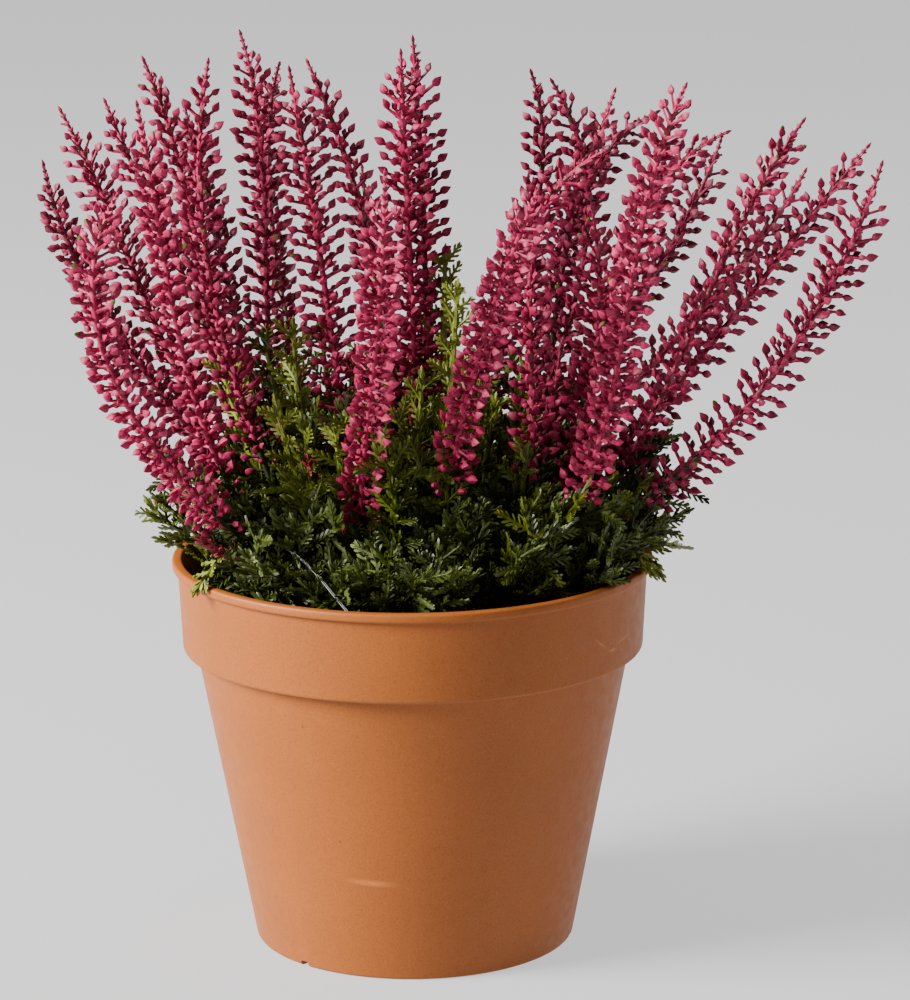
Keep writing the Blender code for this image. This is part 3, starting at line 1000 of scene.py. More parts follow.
@dataclass
class WireStems:
    """Coated wire stems, each with a moulded socket that carries up to three spikes."""

    rows: tuple[tuple[int, int], ...] = (
        (350, 28), (320, 27), (285, 24), (240, 26), (206, 30), (178, 27), (148, 27),
        (120, 25), (90, 24), (60, 26), (30, 28), (60, 8), (5, 14), (200, 12))
    foot_share: float = 0.7
    foot_z: float = 74.3 * MM
    radius: float = 1.4 * MM
    socket_top: float = 92.0 * MM
    socket_radius: float = 2.9 * MM
    socket_height: float = 3.0 * MM
    socket_edge: float = 0.5 * MM
    flare: float = 1.2 * MM
    groove: tuple[float, ...] = (1.2 * MM, 1.1 * MM, 0.8 * MM, 0.7 * MM)
    groove_depth: float = 0.25 * MM
    rim: float = 0.2 * MM
    spread: float = 1.8 * MM
    gap: float = 0.3 * MM

    def socket(self, number: int) -> Vector:
        """Give the point on top of a stem's socket.

        Args:
            number: the stem's number, from 1.

        Returns:
            The point.
        """
        azimuth, distance = self.rows[number - 1]
        return polar(azimuth, distance * MM, self.socket_top + self.gap)

    def levels(self) -> tuple[tuple[float, float], ...]:
        """Give the heights and radii of a stem's head, from its flare to the top of its socket.

        Returns:
            The height and the radius at each level.
        """
        top, wide = self.socket_top, self.socket_radius
        collar = top - self.socket_height
        narrow = wide - self.groove_depth
        low, floor_low, floor_high, high = self.groove
        return (
            (collar - self.socket_height, self.radius), (collar - self.flare, self.radius * 1.15),
            (collar, wide * 0.86), (collar + self.socket_edge, wide), (top - low, wide),
            (top - floor_low, narrow), (top - floor_high, narrow), (top - high, wide),
            (top - self.rim, wide), (top, wide * 0.8))

    def build(self) -> None:
        """Make all stems with their sockets as one piece."""
        rods = Rods("wire_stems", SOCKET_GREEN, fineness=3)
        levels = self.levels()
        for azimuth, distance in self.rows:
            foot = polar(azimuth, distance * MM * self.foot_share, self.foot_z - self.gap)
            head = polar(azimuth, distance * MM, 0)
            points = [foot] + [head + Vector((0, 0, height)) for height, _ in levels]
            rods.add(points, [self.radius] + [radius for _, radius in levels])
        piece = rods.build()
        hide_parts(*[f"main_stem_{number:02d}" for number in range(1, len(self.rows) + 1)])


# The flower spikes

@dataclass(frozen=True)
class SpikeRow:
    """One spike: its stem, where its tip is and how it leans, as in the solids."""

    stem: int
    azimuth: float
    reach: float
    height: float
    foot_lean: float
    tip_lean: float


@dataclass(frozen=True)
class Habit:
    """How one spike carries its buds: reach, spacing and lean of the branches, bare tip, green foot.

    The share of branches with a third bud comes last, and whether side buds keep clear of the front.
    """

    widen: float
    step: float
    lean: float
    bare_tip: float
    green: float
    third: float = 0.60
    parted: bool = False


@dataclass(frozen=True)
class Joint:
    """A place on a spike's stem where a pair of branches leaves it."""

    place: Vector
    up: Vector
    below: float
    foot_share: float


@dataclass
class Spikes:
    """All flower spikes: four rows of stalked buds round a slender stem, in crossed pairs."""

    stems: WireStems
    rows: tuple[tuple[float, ...], ...] = (
        (1, 350, 115, 199, 63, 16), (1, 3, 97, 206, 52, 37), (1, 9, 80, 202, 35, 70),
        (2, 327, 77, 221, 58, 26), (2, 332, 53, 203, 30, 65), (2, 357, 37, 151, 37, 10),
        (3, 296, 67, 199, 8, 34), (4, 264, 55, 203, 0, 0),
        (5, 200, 69, 215, 44, 11), (5, 215, 83, 197, 57, -38),
        (6, 171, 92, 195, 35, 11), (6, 189, 49, 223, 21, -11), (6, 156, 97, 205, 56, 34),
        (7, 163, 69, 220, 44, 24), (7, 142, 100, 204, 33, 30), (7, 130, 92, 202, 70, 35),
        (8, 143, 53, 225, 55, 19), (8, 113, 87, 211, 75, -40),
        (9, 120, 52, 216, 3, 33), (9, 98, 92, 182, 45, 20),
        (10, 52, 87, 205, 34, 31), (10, 70, 92, 180, 45, 20), (10, 45, 43, 215, -12, -22),
        (11, 25, 112, 187, 30, 32), (11, 37, 101, 193, 17, 24), (11, 29, 72, 204, 25, 72),
        (12, 64, 2, 227, 0, 8), (13, 8, 35, 216, 23, -33), (13, 11, 117, 197, 62, 41),
        (14, 195, 30, 221, 9, 10))
    # The spikes listed next get the lighter tone, painted light; those in deep get the darker tone, painted
    # shade.
    bright: tuple[int, ...] = (4, 7, 8, 9, 10, 31)
    deep: tuple[int, ...] = (6, 11, 16, 18, 20, 22, 23, 25, 26, 28)
    facing: tuple[int, ...] = (4, 7, 8, 10)
    slim: tuple[int, ...] = (9, 11)
    full: tuple[int, ...] = (1, 13, 17, 27, 30, 31, 32)
    long_bloom: tuple[int, ...] = (8,)
    extras: tuple[tuple[float, ...], ...] = (
        (12, 180, 243, 4.5, 224.5, 2, 5), (13, 300, 342, 46, 188, 60, -12))
    long_tips: tuple[int, ...] = (1, 8, 9, 13)
    peg: float = 2.2 * MM
    bloom_length: float = 114.0 * MM
    bloom_share: float = 0.80
    long_share: float = 0.91
    bare_tip: float = 8.2 * MM
    long_tip: float = 1.3
    foot_zone: float = 16.0 * MM
    foot_radius: float = 0.82 * MM
    foot_points: int = 22
    bloom_radius: float = 0.70 * MM
    tip_radius: float = 0.36 * MM
    tip_taper: float = 30.0 * MM
    sleeve: float = 2.5 * MM
    sleeve_fit: float = 0.8
    knot: float = 0.18
    roll_spread: float = 12.0
    row_spread: float = 8.0
    end_bud: tuple[float, float] = (2.4 * MM, 1.05 * MM)
    end_bud_below: float = 1.6 * MM
    nub_below: float = 1.8 * MM
    nub_step: float = 1.0 * MM
    nub_lengths: tuple[float, float] = (1.0, 1.7)
    nub_width: float = 0.55
    nub_lean: float = 40.0
    hook: tuple[float, float, float] = (2.0 * MM, 0.8 * MM, 0.7 * MM)
    hook_lean: float = 55.0
    hook_share: float = 0.14
    branch_length: float = 6.9 * MM
    bud_length: float = 3.15 * MM
    bud_width: float = 2.3 * MM
    small_bud: float = 2.6 * MM
    opening: float = 14.0 * MM
    small_width: float = 0.74
    second_turn: tuple[float, float] = (14.0, 36.0)
    second_reach: tuple[float, float] = (0.60, 0.76)
    third_reach: tuple[float, float] = (0.46, 0.62)
    stalk_fit: tuple[float, float] = (0.47, 0.33)
    least_stalk: float = 0.8 * MM
    foot_bud: float = 2.7 * MM
    foot_bud_width: tuple[float, float] = (0.58, 0.70)
    foot_stalks: tuple[float, float] = (4.2, 2.6)
    foot_gaps: float = 0.30
    bract: tuple[float, float, float] = (1.7 * MM, 1.0 * MM, 0.55 * MM)
    bract_lean: float = 24.0
    bract_share: float = 0.5
    green_share: float = 0.036
    brighter_share: float = 0.12
    deeper_share: float = 0.82
    tip_angle: float = 43.0
    low_droop: float = 7.0
    fine_points: int = 56
    seed: int = 7
    lines: dict[int, Line] = field(init=False)

    def __post_init__(self) -> None:
        """Work out the lines and prepare the small shapes and the swarms."""
        self.lines = self.spike_lines()
        self.bud = Shape.of(spindle(((0.08, 0.27), (0.27, 0.49), (0.50, 0.49), (0.76, 0.26)), 6, 0.78))
        self.small = Shape.of(spindle(((0.10, 0.30), (0.42, 0.52), (0.76, 0.28)), 6, 0.80))
        self.nub = Shape.of(spindle(((0.20, 0.46), (0.60, 0.40)), 4))
        self.round_bud = Shape.of(spindle(((0.08, 0.22), (0.36, 0.45), (0.70, 0.50), (0.96, 0.32)), 6, 0.88))
        self.stalk = self.make_stalk()
        self.scale = Shape.of(spindle(((0.25, 0.42), (0.60, 0.50)), 4))
        self.buds = {tone: Swarm(f"spike_buds_{tone.name.lower()}", tone.value) for tone in Rose}
        self.stalks = {tone: Swarm(f"spike_stalks_{tone.name.lower()}", tone.value) for tone in Rose}
        self.greens = Swarm("spike_green_tips", Leaf.FRESH.value)
        self.bracts = Swarm("spike_bracts", BRACT_OLIVE)
        self.green_stalks = Swarm("spike_foot_stalks", STEM_GREEN)
        self.rods = {tone: Rods(f"spike_stems_{tone.name.lower()}", tone.value) for tone in Rose}
        self.foot_rods = Rods("spike_feet", STEM_GREEN)
        self.chance = random.Random(self.seed)

    @staticmethod
    def make_stalk() -> Shape:
        """Shape a stalk that is webbed at its foot and sags a little on its way.

        Returns:
            The stalk.
        """
        bm = spindle(((0.03, 0.66), (0.40, 0.40), (0.97, 0.36)), 4)
        for vert in bm.verts:
            height = vert.co.z
            vert.co.x -= 0.30 * height * (1.0 - height)
        return Shape.of(bm)

    def line_from(self, foot: Vector, tip: Vector, foot_lean: float, tip_lean: float) -> Line:
        """Give a spike's line: a short upright peg in its socket, then the bend up to its tip."""
        start = foot + Vector((0, 0, self.peg))
        return Line([foot] + bent_line(start, tip, foot_lean, tip_lean, self.fine_points))

    def spike_lines(self) -> dict[int, Line]:
        """Work out the line of each spike, side by side on the socket of its stem.

        Returns:
            The line of each spike by its number.
        """
        lines = {}
        for stem, (stem_azimuth, _) in enumerate(self.stems.rows, start=1):
            socket = self.stems.socket(stem)
            group = []
            for number, row in enumerate(self.rows, start=1):
                plan = SpikeRow(*row)
                if plan.stem == stem:
                    tip = polar(plan.azimuth, plan.reach * MM, plan.height * MM)
                    turn = (heading(socket, tip) - stem_azimuth + 180) % 360 - 180
                    group.append((turn, number, tip, plan))
            group.sort(key=lambda item: item[0])
            middle = stem_azimuth + sum(item[0] for item in group) / len(group)
            sides = {1: (), 2: (-90, 90), 3: (-110, 0, 110)}[len(group)]
            for place, (_, number, tip, plan) in enumerate(group):
                foot = socket
                if sides:
                    foot = socket + polar(middle + sides[place], self.stems.spread, 0)
                lines[number] = self.line_from(foot, tip, plan.foot_lean, plan.tip_lean)
        for stem, side, azimuth, reach, height, foot_lean, tip_lean in self.extras:
            foot = self.stems.socket(stem) + polar(side, self.stems.spread, 0)
            tip = polar(azimuth, reach * MM, height * MM)
            lines[len(lines) + 1] = self.line_from(foot, tip, foot_lean, tip_lean)
        return lines

    def tone_of(self, number: int) -> Rose:
        """Give the tone of a spike: painted light for the front spikes, painted shade for those behind, the
        middle tone for the rest.
        """
        dark = Rose.DEEP if number in self.deep else Rose.MIDDLE
        return Rose.BRIGHT if number in self.bright else dark

    def bloom_of(self, number: int) -> float:
        """Give the length of the bloom on a spike's line."""
        share = self.long_share if number in self.long_bloom else self.bloom_share
        return min(self.bloom_length, self.lines[number].length * share)

    def habit_of(self, number: int) -> Habit:
        """Deal out a spike's habit; the ones that face the front are the widest and densest.

        Args:
            number: the spike's number.

        Returns:
            The habit.
        """
        bare_tip = self.bare_tip * self.chance.uniform(0.75, 1.1)
        green = self.chance.choice((0.0, 0.0, 0.15, 0.45))
        if number in self.long_tips:
            bare_tip = self.bare_tip * self.long_tip
        if number in self.facing:
            return Habit(1.16, 1.80 * MM, 72.0, bare_tip, green=0.0, third=0.90, parted=True)
        if number in self.slim:
            return Habit(0.95, 1.80 * MM, 72.0, bare_tip, green=0.0, third=0.75, parted=True)
        if number in self.full:
            return Habit(1.16, 1.85 * MM, 66.0, bare_tip, green=0.25, third=0.85)
        return Habit(1.0, 2.05 * MM, 63.0, bare_tip, green)

    def grow(self, number: int) -> None:
        """Grow one spike.

        Args:
            number: the spike's number.
        """
        line = self.lines[number]
        tone = self.tone_of(number)
        habit = self.habit_of(number)
        bloom = self.bloom_of(number)
        roll = 45.0 if habit.parted else self.chance.gauss(0, self.roll_spread)
        self.add_stem(line, bloom, habit, tone)
        self.add_tip(line, habit, tone, roll)
        count = int((bloom - habit.bare_tip) / habit.step)
        for index in range(count):
            below = habit.bare_tip + (index + 0.5) * habit.step
            place, up = line.at(line.length - below)
            joint = Joint(place, up, below, ease(bloom - self.foot_zone, bloom, below))
            toward = square_to(up, FRONT)
            beside = up.cross(toward)
            for half in (0, 180):
                turn = math.radians(roll + 90 * (index % 2) + half + self.chance.gauss(0, self.row_spread))
                outward = toward * math.cos(turn) + beside * math.sin(turn)
                self.add_branch(joint, outward, habit, tone)

    def radius_at(self, below: float) -> float:
        """Give the stem's radius at a distance below the tip."""
        return mix(self.tip_radius, self.bloom_radius, ease(0, self.tip_taper, below))

    def add_stem(self, line: Line, bloom: float, habit: Habit, tone: Rose) -> None:
        """Add the stem: green and bare below, coloured and knotted above, one sleeved in the other.

        Args:
            line: the spike's line.
            bloom: length of the bloom.
            habit: the spike's habit.
            tone: the spike's tone.
        """
        change = min(bloom * (1.0 - habit.green), bloom - self.foot_zone * 0.75)
        low = change + self.sleeve
        steps = max(int(low / (habit.step / 2)), 2)
        points, radii = [], []
        for step in range(steps + 1):
            below = low * (1 - step / steps)
            points.append(line.at(line.length - below)[0])
            fit = self.sleeve_fit if below > change - 0.5 * MM else 1.0 + self.knot * (step % 2)
            radii.append(self.radius_at(below) * fit)
        self.rods[tone].add(points, radii)
        points, radii = [], []
        for step in range(self.foot_points + 1):
            share = step / self.foot_points
            points.append(line.at((line.length - change) * share)[0])
            neck = 0.86 if step == self.foot_points else 1.05
            radii.append(mix(self.foot_radius, self.radius_at(change), share ** 0.5) * neck)
        self.foot_rods.add(points, radii)

    def add_tip(self, line: Line, habit: Habit, tone: Rose, roll: float) -> None:
        """Add the bare tip: a slim end bud, small nubs that grow downwards and a few bare stalks.

        Args:
            line: the spike's line.
            habit: the spike's habit.
            tone: the spike's tone.
            roll: turn of the rows in degrees.
        """
        chance = self.chance
        place, up = line.at(line.length - self.end_bud_below)
        length, width = self.end_bud
        self.buds[tone].add(self.small, place, up, square_to(up, FRONT), length, width, width)
        below = self.nub_below
        index = 0
        while below < habit.bare_tip + 0.6 * MM:
            place, up = line.at(line.length - below)
            toward = square_to(up, FRONT)
            beside = up.cross(toward)
            turn = math.radians(roll + 90 * (index % 2))
            share = below / habit.bare_tip
            for sign in (1, -1):
                outward = (toward * math.cos(turn) + beside * math.sin(turn)) * sign
                size = mix(*self.nub_lengths, share) * MM * chance.uniform(0.85, 1.2)
                axis = tilted(up, outward, self.nub_lean)
                side = square_to(axis, beside)
                width = size * self.nub_width
                self.buds[tone].add(self.nub, place, axis, side, size, width, width)
                if share > 0.45 and chance.random() < self.hook_share:
                    axis = tilted(up, outward, self.hook_lean)
                    self.stalks[tone].add(self.stalk, place, axis, square_to(axis, up), *self.hook)
            below += self.nub_step
            index += 1

    def add_branch(self, joint: Joint, outward: Vector, habit: Habit, tone: Rose) -> None:
        """Add one side branch: a stalk, the bud at its end, a smaller sibling and a nub.

        Args:
            joint: where it leaves the stem.
            outward: direction away from the stem.
            habit: the spike's habit.
            tone: the spike's tone.
        """
        chance = self.chance
        size = mix(0.80, 1.0, ease(habit.bare_tip, habit.bare_tip + 9 * MM, joint.below))
        size *= chance.uniform(0.92, 1.08)
        lean = mix(self.tip_angle, habit.lean, ease(habit.bare_tip * 0.6, 24 * MM, joint.below))
        lean += self.low_droop * ease(40 * MM, 100 * MM, joint.below) + chance.gauss(0, 4)
        if joint.foot_share > 0.45:
            self.add_foot_branch(joint, tilted(joint.up, outward, lean), tone)
            return
        shown = self.pick_tone(tone)
        length = self.branch_length * size * habit.widen
        bud = self.bud_length * size
        crowd = ease(habit.bare_tip, habit.bare_tip + self.opening, joint.below)
        axis = tilted(joint.up, outward, lean)
        self.add_bud(joint, axis, shown, length, bud, self.bud_width * size, self.bud)
        turn = chance.choice((-1, 1)) * chance.uniform(*self.second_turn)
        beside = joint.up.cross(outward)
        if habit.parted and turn * beside.dot(FRONT) > 0:
            turn = -turn
        if chance.random() < mix(0.3, 1.0, crowd):
            aside = tilted(outward, beside, turn)
            axis = tilted(joint.up, aside, lean - chance.uniform(-4, 12))
            bud = self.small_bud * size * chance.uniform(0.85, 1.10)
            reach = length * chance.uniform(*self.second_reach)
            self.add_bud(joint, axis, shown, reach, bud, bud * self.small_width, self.small)
        if chance.random() < habit.third * crowd:
            aside = tilted(outward, beside, -turn * chance.uniform(0.6, 1.1))
            axis = tilted(joint.up, aside, lean + chance.uniform(-4, 10))
            bud = self.small_bud * size * chance.uniform(0.70, 0.90)
            reach = length * chance.uniform(*self.third_reach)
            self.add_bud(joint, axis, shown, reach, bud, bud * self.small_width, self.small)
        if chance.random() < self.bract_share:
            lower = tilted(joint.up, outward, self.bract_lean)
            foot = joint.place - joint.up * 0.8 * MM + outward * 0.4 * MM
            self.bracts.add(self.scale, foot, lower, square_to(lower, beside), *self.bract)

    def add_bud(self, joint: Joint, axis: Vector, tone: Rose, length: float, bud: float, width: float,
                shape: Shape) -> None:
        """Add one stalk with its bud.

        Args:
            joint: where the stalk leaves the stem.
            axis: direction of the stalk.
            tone: tone of both.
            length: reach of the stalk and the bud together.
            bud: length of the bud.
            width: width of the bud.
            shape: shape of the bud.
        """
        chance = self.chance
        upper = square_to(axis, joint.up)
        sideways = axis.cross(upper)
        stalk = max(length - bud, self.least_stalk)
        wide, deep = self.stalk_fit
        self.stalks[tone].add(self.stalk, joint.place, axis, upper, stalk + 0.35 * MM, width * wide,
                              width * deep)
        end = joint.place + axis * (stalk - 0.15 * MM)
        bud_axis = tilted(axis, upper, chance.gauss(13, 10))
        bud_axis = tilted(bud_axis, sideways, chance.gauss(0, 7)).normalized()
        side = square_to(bud_axis, tilted(upper, sideways, chance.uniform(0, 120)))
        width *= chance.uniform(0.92, 1.06)
        self.buds[tone].add(shape, end, bud_axis, side, bud, width, width)
        if shape is self.bud and chance.random() < self.green_share:
            tip = end + bud_axis * (bud * 0.62)
            self.greens.add(self.small, tip, bud_axis, side, bud * 0.42, width * 0.62, width * 0.62)

    def add_foot_branch(self, joint: Joint, axis: Vector, tone: Rose) -> None:
        """Add one thin green stalk with a plump bud at the foot of the bloom.

        Args:
            joint: where it leaves the stem.
            axis: direction of the stalk.
            tone: the spike's tone.
        """
        chance = self.chance
        if chance.random() < self.foot_gaps * joint.foot_share:
            return
        upper = square_to(axis, joint.up)
        length = mix(*self.foot_stalks, joint.foot_share) * MM * chance.uniform(0.75, 1.15)
        self.green_stalks.add(self.stalk, joint.place, axis, upper, length, 1.0 * MM, 0.7 * MM)
        bud_axis = tilted(axis, upper, chance.gauss(12, 10))
        width = self.foot_bud * chance.uniform(*self.foot_bud_width)
        end = joint.place + axis * (length - 0.4 * MM)
        self.buds[self.pick_tone(tone)].add(self.round_bud, end, bud_axis, square_to(bud_axis, upper),
                                            self.foot_bud, width, width)

    def pick_tone(self, tone: Rose) -> Rose:
        """Give a spike's own tone, or now and then one beside it.

        Args:
            tone: the spike's tone.

        Returns:
            The tone to use.
        """
        tones = list(Rose)
        place = tones.index(tone)
        draw = self.chance.random()
        if draw < self.brighter_share:
            return tones[max(place - 1, 0)]
        if draw > self.deeper_share:
            return tones[min(place + 1, len(tones) - 1)]
        return tone

    def build(self) -> None:
        """Grow all spikes and build their pieces."""
        for number in sorted(self.lines):
            self.grow(number)
        first = None
        for maker in (*self.rods.values(), self.foot_rods, *self.stalks.values(), *self.buds.values(),
                      self.greens, self.bracts, self.green_stalks):
            piece = maker.build()
            first = first or piece
        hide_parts(*[f"flower_spike_{number:02d}" for number in range(1, len(self.rows) + 1)])


# The foliage

class Half(Enum):
    """The halves of the plant, whose needles are separate pieces."""

    FRONT = "front"
    BACK = "back"

    @classmethod
    def of(cls, point: Vector) -> "Half":
        """Give the half in which a point lies."""
        return cls.FRONT if point.y < 0.0 else cls.BACK


@dataclass(frozen=True)
class SprigRow:
    """One sprig: where its foot and its tip are and how it leans."""

    azimuth: float
    foot_distance: float
    reach: float
    height: float
    foot_lean: float
    tip_lean: float
    pull: float = 0.36

    def line(self, foot_z: float) -> Line:
        """Give the sprig's line.

        Args:
            foot_z: height of its foot.

        Returns:
            The line.
        """
        foot = polar(self.azimuth, self.foot_distance * MM, foot_z)
        tip = polar(self.azimuth, self.reach * MM, self.height * MM)
        return Line(bent_line(foot, tip, self.foot_lean, self.tip_lean, 24, self.pull))


@dataclass
class Foliage:
    """Fern-like sprigs: stems with side shoots, combs on the shoots and blunt needles on the combs."""

    pot: Pot
    spikes: Spikes
    rows: tuple[tuple[float, ...], ...] = (
        (335, 40, 68, 111, 8, 70), (303, 40, 50, 110, 0, 30), (262, 36, 46, 108, 0, 25),
        (223, 40, 56, 109, 5, 45), (192, 41, 66, 112, 8, 65), (163, 41, 65, 120, 8, 60),
        (134, 38, 52, 134, 6, 35), (105, 36, 46, 140, 5, 25), (75, 36, 48, 138, 5, 25),
        (45, 38, 54, 132, 6, 35), (12, 41, 69, 115, 8, 65),
        (180, 13, 29, 157, 8, 0), (325, 8, 14, 168, 0, 4), (15, 22, 40, 139, 10, 20))
    over_rim: tuple[tuple[float, ...], ...] = (
        (213, 45, 62.6, 97.5, 5, 140, 0.9), (351, 45, 63.4, 101.0, 5, 105, 0.9),
        (346, 45, 63.4, 95.5, 5, 146, 0.9), (340, 45, 62.8, 97.5, 5, 142, 0.9))
    light_uprights: tuple[tuple[float, ...], ...] = (
        (206, 20, 37, 141, 6, 12), (172, 26, 48, 146, 8, 14), (286, 8, 9, 146, 0, 4),
        (226, 20, 27, 136, 4, 8), (70, 7, 11, 151, 0, 4), (8, 12, 17, 141, 0, 6), (255, 20, 22, 131, 0, 4),
        (30, 9, 10, 174, 0, 2))
    dark_uprights: tuple[tuple[float, ...], ...] = (
        (190, 12, 18, 141, 4, 8), (240, 26, 31, 127, 0, 8), (302, 15, 19, 135, 0, 8),
        (335, 20, 31, 138, 4, 10), (150, 24, 36, 143, 6, 12), (318, 28, 38, 131, 4, 10),
        (352, 30, 47, 133, 6, 14), (262, 30, 34, 124, 0, 6), (286, 26, 31, 127, 0, 6),
        (200, 34, 47, 126, 6, 16), (160, 30, 50, 143, 8, 16), (150, 24, 43, 150, 8, 12),
        (130, 22, 36, 152, 6, 10))
    fillers: tuple[tuple[float, ...], ...] = (
        (3, 38, 61, 127, 8, 35), (348, 38, 57, 120, 6, 35), (22, 38, 62, 121, 8, 45),
        (216, 36, 50, 119, 6, 30), (231, 36, 46, 116, 4, 25), (200, 36, 55, 121, 6, 35))
    # Sprigs on the right, the side in shade, given pale tones: painted light.
    pale_fillers: tuple[tuple[float, ...], ...] = (
        (334, 37, 55, 117, 6, 38), (321, 36, 50, 120, 5, 30), (309, 37, 50, 113, 4, 28),
        (352, 36, 62, 113, 8, 52))
    rim_sprigs: tuple[tuple[float, ...], ...] = (
        (248, 44, 50, 104, 2, 22), (258, 43, 50, 107, 0, 20), (268, 44, 51, 105, 2, 24),
        (277, 43, 50, 105, 0, 22))
    blush_sprigs: tuple[tuple[float, ...], ...] = ((215, 36, 62.5, 111, 8, 66), (217, 36, 60.0, 108.5, 8, 70))
    slim_sprigs: tuple[tuple[float, ...], ...] = (
        (186, 40, 63.5, 104, 8, 78), (194, 40, 65.0, 117, 8, 50), (352, 40, 69.0, 111, 8, 66))
    foot_z: float = 74.3 * MM
    foot_radius: float = 1.15 * MM
    upright_radius: float = 1.70 * MM
    shoot_length: float = 20.0 * MM
    comb_length: float = 9.6 * MM
    comb_width: float = 4.6 * MM
    comb_step: float = 3.4 * MM
    upright_step: float = 2.4 * MM
    needle_step: float = 1.35 * MM
    needle_width: float = 0.95 * MM
    needle_depth: float = 0.72
    rib_radii: tuple[float, float, float] = (0.46 * MM, 0.40 * MM, 0.24 * MM)
    shoot_radius: float = 0.62 * MM
    shoot_steps: int = 8
    shoot_rise: float = 0.20
    shoot_start: float = 2.4 * MM
    spray_end: float = 2.0 * MM
    tries: int = 8
    try_turn: float = 47.0
    top_radius: float = 0.42 * MM
    stem_step: float = 4.0 * MM
    comb_margin: float = 1.6 * MM
    tuft_margin: float = 2.5 * MM
    shoot_margin: float = 2.6 * MM
    tuft_needles: int = 9
    tuft_length: float = 2.8 * MM
    scale_length: float = 1.9 * MM
    scale_step: float = 0.75 * MM
    blush_share: float = 0.05
    blush_above: float = 112.0 * MM
    rim_sprig_count: int = 11
    shaded_azimuth: float = 185.0
    shaded_width: float = 20.0
    inner_sprigs: int = 22
    low_sprigs: int = 20
    low_range: tuple[float, float] = (218.0, 338.0)
    foot_shoot: float = 13.5 * MM
    foot_step: float = 6.0 * MM
    foot_scale: float = 0.82
    front_pull: float = 6.0 * MM
    open_reach: tuple[float, float] = (34.0 * MM, 60.0 * MM)
    open_height: tuple[float, float] = (104.0 * MM, 150.0 * MM)
    open_weights: tuple[float, float, float] = (0.45, 0.75, 0.25)
    core_reach: float = 34.0 * MM
    core_top: float = 113.0 * MM
    core_share: float = 0.45
    cool_below: float = 120.0 * MM
    hollow: tuple[float, float] = (13.0 * MM, 42.0 * MM)
    hollow_top: float = 110.0 * MM
    rise: float = 20.0
    bare_left: tuple[float, float] = (51.0, 107.0)
    bare_right: tuple[float, float] = (57.0, 103.0)
    keeps_bare: bool = True
    rim_margin: float = 0.3
    seed: int = 11

    def __post_init__(self) -> None:
        """Prepare the small shapes, the swarms and the rods."""
        self.needle = self.make_needle(((0.10, 0.36), (0.84, 0.42)))
        self.plain_needle = self.make_needle(((0.55, 0.50),))
        self.needles = {(tone, half): Swarm(f"needles_{tone.name.lower()}_{half.value}", tone.value, 40.0)
                        for tone in Leaf for half in Half}
        self.ribs = {tone: Rods(f"ribs_{tone.name.lower()}", tone.value, fineness=0) for tone in Leaf}
        self.stems = {tone: Rods(f"sprig_stems_{tone.name.lower()}", tone.value,
                                 fineness=int(tone is not Leaf.DARK)) for tone in Leaf}
        self.chance = random.Random(self.seed)

    @staticmethod
    def make_needle(profile: Sequence[tuple[float, float]]) -> Shape:
        """Shape a needle of three sides that bends a little to one side.

        Args:
            profile: height and radius of each ring between its two points.

        Returns:
            The needle.
        """
        bm = spindle(profile, 3)
        for vert in bm.verts:
            vert.co.x += 0.5 * vert.co.z ** 2
        return Shape.of(bm)

    def seen_from(self, point: Vector) -> Vector:
        """Give the direction from which a point shows best: away from the axis and a little above."""
        away = Vector((point.x, point.y, 0.0)) + FRONT * self.front_pull
        return tilted(away.normalized(), UP, self.rise)

    def leaves_room(self, point: Vector, margin: float) -> bool:
        """Tell whether a point keeps clear of the pot and of the two stretches of rim that lie bare.

        Args:
            point: the point.
            margin: the way that it has to keep to the pot.

        Returns:
            Whether it does.
        """
        reach, height = self.bare_left if point.x < 0 else self.bare_right
        if self.keeps_bare and abs(point.x) > reach * MM and point.z < height * MM:
            return False
        return self.pot.leaves_room(point, margin if self.keeps_bare else margin * self.rim_margin)

    def in_core(self, point: Vector) -> bool:
        """Tell whether a point lies in the dark core, where little of the foliage shows."""
        return math.hypot(point.x, point.y) < self.core_reach and point.z < self.core_top

    def in_hollow(self, point: Vector) -> bool:
        """Tell whether a point lies in the dark hollow at the front right, low over the rim."""
        low, high = self.hollow
        return low < point.x < high and point.y < 0.0 and point.z < self.hollow_top

    def tones_at(self, tip: Vector) -> tuple[Leaf, Leaf]:
        """Deal out a shoot's tones; shoots whose tips stand far up, far out or to the front are paler, which
        paints the light that falls there, and those in the dark hollow are all dark, painted shade.

        Args:
            tip: where the shoot ends.

        Returns:
            The tone of its lower combs and that of its upper ones.
        """
        out = ease(*self.open_reach, math.hypot(tip.x, tip.y))
        up = ease(*self.open_height, tip.z)
        front = ease(0.2, 1.0, -tip.normalized().y)
        by_reach, by_height, by_front = self.open_weights
        open_share = min(by_reach * out + by_height * up + by_front * front, 1.0)
        fresh, pale = (Leaf.COOL, Leaf.PALE) if tip.z < self.cool_below else (Leaf.FRESH, Leaf.LIME)
        draw = self.chance.random()
        # Painted shade: shoots in the hollow are all dark.
        if self.in_hollow(tip):
            return Leaf.DARK, Leaf.DARK
        if draw < 0.34 * open_share:
            return fresh, pale
        if draw < 0.70 * open_share:
            return fresh, fresh
        if draw < 0.30 + 0.70 * open_share:
            return Leaf.DARK, fresh
        return Leaf.DARK, Leaf.DARK

